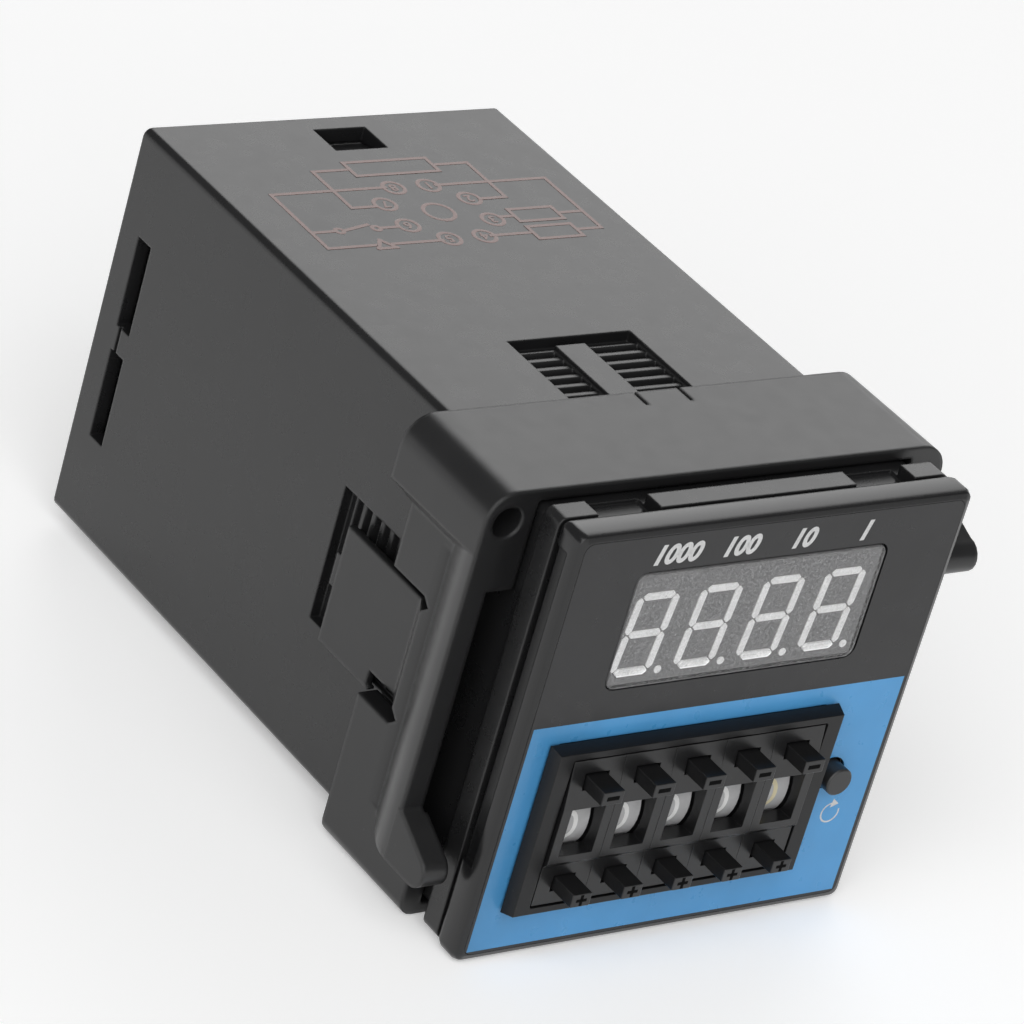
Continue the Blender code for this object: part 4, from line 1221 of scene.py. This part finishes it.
@dataclass
class SwitchBank(Assembly):
    """Frame, cells, number wheels with their numerals, and the signs on the push buttons."""

    numeral: Lettering = Lettering(3.3 * MM, bold=0.05 * MM, narrow=0.92)
    numeral_shift: float = -0.45 * MM
    numeral_rise: float = 0.004 * MM
    strips: int = 8
    cell_overlap: float = 0.08 * MM
    minus_sign: Point = (1.45 * MM, 0.46 * MM)
    plus_sign: Point = (1.25 * MM, 0.34 * MM)
    sign_depth: float = 0.04 * MM
    button_edge: float = 0.12 * MM

    def numeral_on_rim(self, words: str, turn: float, radius: float) -> bpy.types.Object:
        """Wraps one numeral round a wheel about the X axis through the origin.

        Args:
            words: the numeral.
            turn: its place round the rim in radians.
            radius: the radius of the rim.

        Returns:
            The numeral.
        """
        made = self.numeral.flat(words)
        choose([made])
        bpy.ops.object.mode_set(mode="EDIT")
        half = self.numeral.height / 2
        for step in range(1, self.strips):
            level = -half + 2 * half * step / self.strips
            bpy.ops.mesh.select_all(action="SELECT")
            bpy.ops.mesh.bisect(plane_co=(0.0, level, 0.0), plane_no=(0.0, 1.0, 0.0))
        bpy.ops.object.mode_set(mode="OBJECT")
        for vertex in made.data.vertices:
            x, up, out = vertex.co
            angle = up / radius + turn
            reach = radius + out + self.numeral_rise
            vertex.co = (x, -reach * math.cos(angle), reach * math.sin(angle))
        return made

    def build_numerals(self) -> list[bpy.types.Object]:
        """Prints the ten numerals on each wheel.

        Returns:
            One ring of numerals for each wheel.
        """
        low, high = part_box("number_wheel_1")
        radius = (high.z - low.z) / 2
        parts = [self.numeral_on_rim(str(digit), -math.tau * digit / 10, radius)
                 for digit in range(10)]
        model = join(parts, "numerals")
        shift = Vector((self.numeral_shift, 0.0, 0.0))
        boxes = [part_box(f"number_wheel_{number}") for number in range(1, CELLS + 1)]
        places = [Matrix.Translation((low + high) / 2 + shift) for low, high in boxes]
        return copies(model, "wheel_numerals", places)

    def build_sign(self, kind: str, index: int) -> bpy.types.Object:
        """Marks a push button's end with a plus or a minus.

        Args:
            kind: plus or minus.
            index: the button's number.

        Returns:
            The sign.
        """
        low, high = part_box(f"{kind}_button_{index}")
        centre = ((low.x + high.x) / 2, low.y, self.button_middle(kind, index))
        length, width = self.plus_sign if kind == "plus" else self.minus_sign
        parts = [bar(centre, (length, self.sign_depth, width))]
        if kind == "plus":
            parts.append(bar(centre, (width, self.sign_depth, length)))
        return join(parts, f"{kind}_sign_{index}")

    def button_middle(self, kind: str, index: int) -> float:
        """Finds the middle of a push button's end face.

        Args:
            kind: plus or minus.
            index: the button's number.

        Returns:
            Its height.
        """
        mesh = self.nodes[f"{kind}_button_{index}"].data
        front = min(vertex.co.y for vertex in mesh.vertices)
        levels = [vertex.co.z for vertex in mesh.vertices if vertex.co.y < front + WELD]
        return (min(levels) + max(levels)) / 2

    def dress(self) -> None:
        """Gives the switch bank its finishes, numerals and signs."""
        cells = range(1, CELLS + 1)
        self.dress_nodes(["switch_frame"], "frame")
        for index in cells:
            cell = self.fill_opening(f"switch_cell_{index}", "switch", self.cell_overlap)
            choose([cell])
            bpy.ops.object.shade_flat()
        buttons = [f"{kind}_button_{i}" for kind in ("minus", "plus") for i in cells]
        self.smooth_nodes(buttons, "switch", self.button_edge)
        self.smooth_nodes([f"number_wheel_{i}" for i in cells], "wheel")
        for index, numerals in enumerate(self.build_numerals(), start=1):
            ink = "old_numeral" if index == CELLS else "numeral"
            finish(numerals, self.paint.get(ink), f"wheel_{index}", "grey_wheel")
        for index in cells:
            for kind in ("minus", "plus"):
                sign = self.build_sign(kind, index)
                finish(sign, self.paint.get("sign"), f"{kind}_{index}", "black_gloss")


@dataclass
class Fittings(Assembly):
    """The mounting adapter, and the boards and components inside the case."""

    def dress(self) -> None:
        """Gives the adapter and the inner pieces their finishes."""
        self.smooth_nodes(["adapter"], "adapter")
        boards = ["display_board", "switch_board", "main_board_left", "main_board_right"]
        self.dress_nodes(boards, "board")
        self.dress_nodes(["transformer"], "core")
        self.smooth_nodes(["output_relay"], "relay_cover")
        self.smooth_nodes(["capacitor"], "sleeve")


@dataclass(frozen=True)
class Lamp:
    """A square soft lamp: its name, its place, its side and its power in watts."""

    name: str
    place: Sequence[float]
    size: float
    power: float

    def hang(self, target: Sequence[float]) -> None:
        """Hangs the lamp in the scene.

        Args:
            target: the point that it looks at.
        """
        deselect()
        bpy.ops.object.light_add(type="AREA", location=self.place)
        lamp = bpy.context.object
        lamp.name = self.name
        lamp.data.shape = "SQUARE"
        lamp.data.size = self.size
        lamp.data.energy = self.power
        aim = Vector(target) - Vector(self.place)
        lamp.rotation_mode = "QUATERNION"
        lamp.rotation_quaternion = aim.to_track_quat("-Z", "Y")


@dataclass
class Studio:
    """Pale floor, soft lamps and the camera."""

    camera_place: Sequence[float] = (-0.31111, -0.31294, 0.24667)
    camera_right: Sequence[float] = (0.79954, -0.54613, 0.24995)
    camera_up: Sequence[float] = (0.09153, 0.52209, 0.84796)
    camera_back: Sequence[float] = (-0.59360, -0.65510, 0.46742)
    lens: float = 183.89
    sensor: float = 36.0
    clip: Point = (0.01, 30.0)
    floor_size: float = 8.0
    floor_gap: float = 0.2 * MM
    floor_lift: float = 0.29
    floor_dark: Colour = (0.90, 0.90, 0.90)
    floor_pale: Colour = (0.93, 0.93, 0.93)
    wall_radius: float = 3.9
    wall_height: float = 0.5
    sky: float = 0.2
    rear_lamp: Lamp = Lamp("rear_softbox", (0.93, 1.03, 0.76), 1.0, 5.6)
    front_lamp: Lamp = Lamp("front_softbox", (-0.95, -1.0, 1.1), 2.5, 38.0)
    lamp_target: Sequence[float] = (0.0, 0.035, 0.0)

    def build_floor(self) -> None:
        """Lays a wide pale floor just under the relay."""
        low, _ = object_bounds()
        deselect()
        level = low.z - self.floor_gap
        bpy.ops.mesh.primitive_plane_add(size=self.floor_size, location=(0.0, 0.0, level))
        floor = bpy.context.object
        floor.name = "floor"
        graph = Graph("pale_floor")
        colour = graph.mix(graph.cloud(3.0, 2.0), self.floor_dark, self.floor_pale)
        lift = graph.maths("MULTIPLY", self.seen(graph), self.floor_lift)
        graph.set(Base_Color=colour, Roughness=0.9, Emission_Color=WHITE, Emission_Strength=lift)
        floor.data.materials.append(graph.material)
        floor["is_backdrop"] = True

    @staticmethod
    def seen(graph: Graph) -> Socket:
        """Tells the set as it is seen from the light that it gives.

        Args:
            graph: the material's graph.

        Returns:
            1 where the camera, a gloss or clear plastic sees the set, and 0 for other light.
        """
        rays = graph.node("ShaderNodeLightPath").outputs
        share = graph.maths("MAXIMUM", rays["Is Camera Ray"], rays["Is Glossy Ray"])
        return graph.maths("MAXIMUM", share, rays["Is Transmission Ray"])

    def build_backdrop(self) -> None:
        """Stands a low round white wall on the floor, which lights no more than the sky does."""
        low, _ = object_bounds()
        deselect()
        place = (0.0, 0.0, low.z + self.wall_height / 2)
        bpy.ops.mesh.primitive_cylinder_add(vertices=96, radius=self.wall_radius,
                                            depth=self.wall_height,
                                            end_fill_type="NOTHING", location=place)
        wall = bpy.context.object
        wall.name = "backdrop"
        bpy.ops.object.mode_set(mode="EDIT")
        bpy.ops.mesh.select_all(action="SELECT")
        bpy.ops.mesh.flip_normals()
        bpy.ops.object.mode_set(mode="OBJECT")
        graph = Graph("white_wall")
        strength = graph.maths("MAXIMUM", self.seen(graph), self.sky)
        graph.set(Base_Color=(0.0, 0.0, 0.0), Roughness=1.0, Specular_IOR_Level=0.0)
        graph.set(Emission_Color=WHITE, Emission_Strength=strength)
        wall.data.materials.append(graph.material)
        wall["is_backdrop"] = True

    def build_sky(self) -> None:
        """Surrounds the set with even white light."""
        world = bpy.data.worlds.new("studio")
        bpy.context.scene.world = world
        world.use_nodes = True
        background = world.node_tree.nodes["Background"]
        background.inputs["Color"].default_value = (*WHITE, 1.0)
        background.inputs["Strength"].default_value = self.sky

    def build_camera(self) -> None:
        """Sets the camera at the photograph's angle."""
        deselect()
        bpy.ops.object.camera_add(location=self.camera_place)
        camera = bpy.context.object
        camera.name = "camera"
        columns = Matrix((self.camera_right, self.camera_up, self.camera_back)).transposed()
        camera.rotation_mode = "QUATERNION"
        camera.rotation_quaternion = columns.to_quaternion()
        camera.data.lens = self.lens
        camera.data.sensor_width = self.sensor
        camera.data.clip_start, camera.data.clip_end = self.clip
        bpy.context.scene.camera = camera

    def build(self) -> None:
        """Builds the whole set."""
        self.build_floor()
        self.build_backdrop()
        self.build_sky()
        self.build_camera()
        for lamp in (self.rear_lamp, self.front_lamp):
            lamp.hang(self.lamp_target)
        bpy.context.scene.view_settings.view_transform = "Standard"
        LOG.info("studio is set")


def main() -> None:
    """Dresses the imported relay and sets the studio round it."""
    logging.basicConfig(level=logging.INFO, format="%(message)s")
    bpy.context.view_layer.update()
    paint = Paintbox()
    for group in (Housing, FrontPanel, SwitchBank, Fittings):
        group(frame["nodes"], paint).dress()
    Studio().build()


if __name__ == "__main__":
    main()
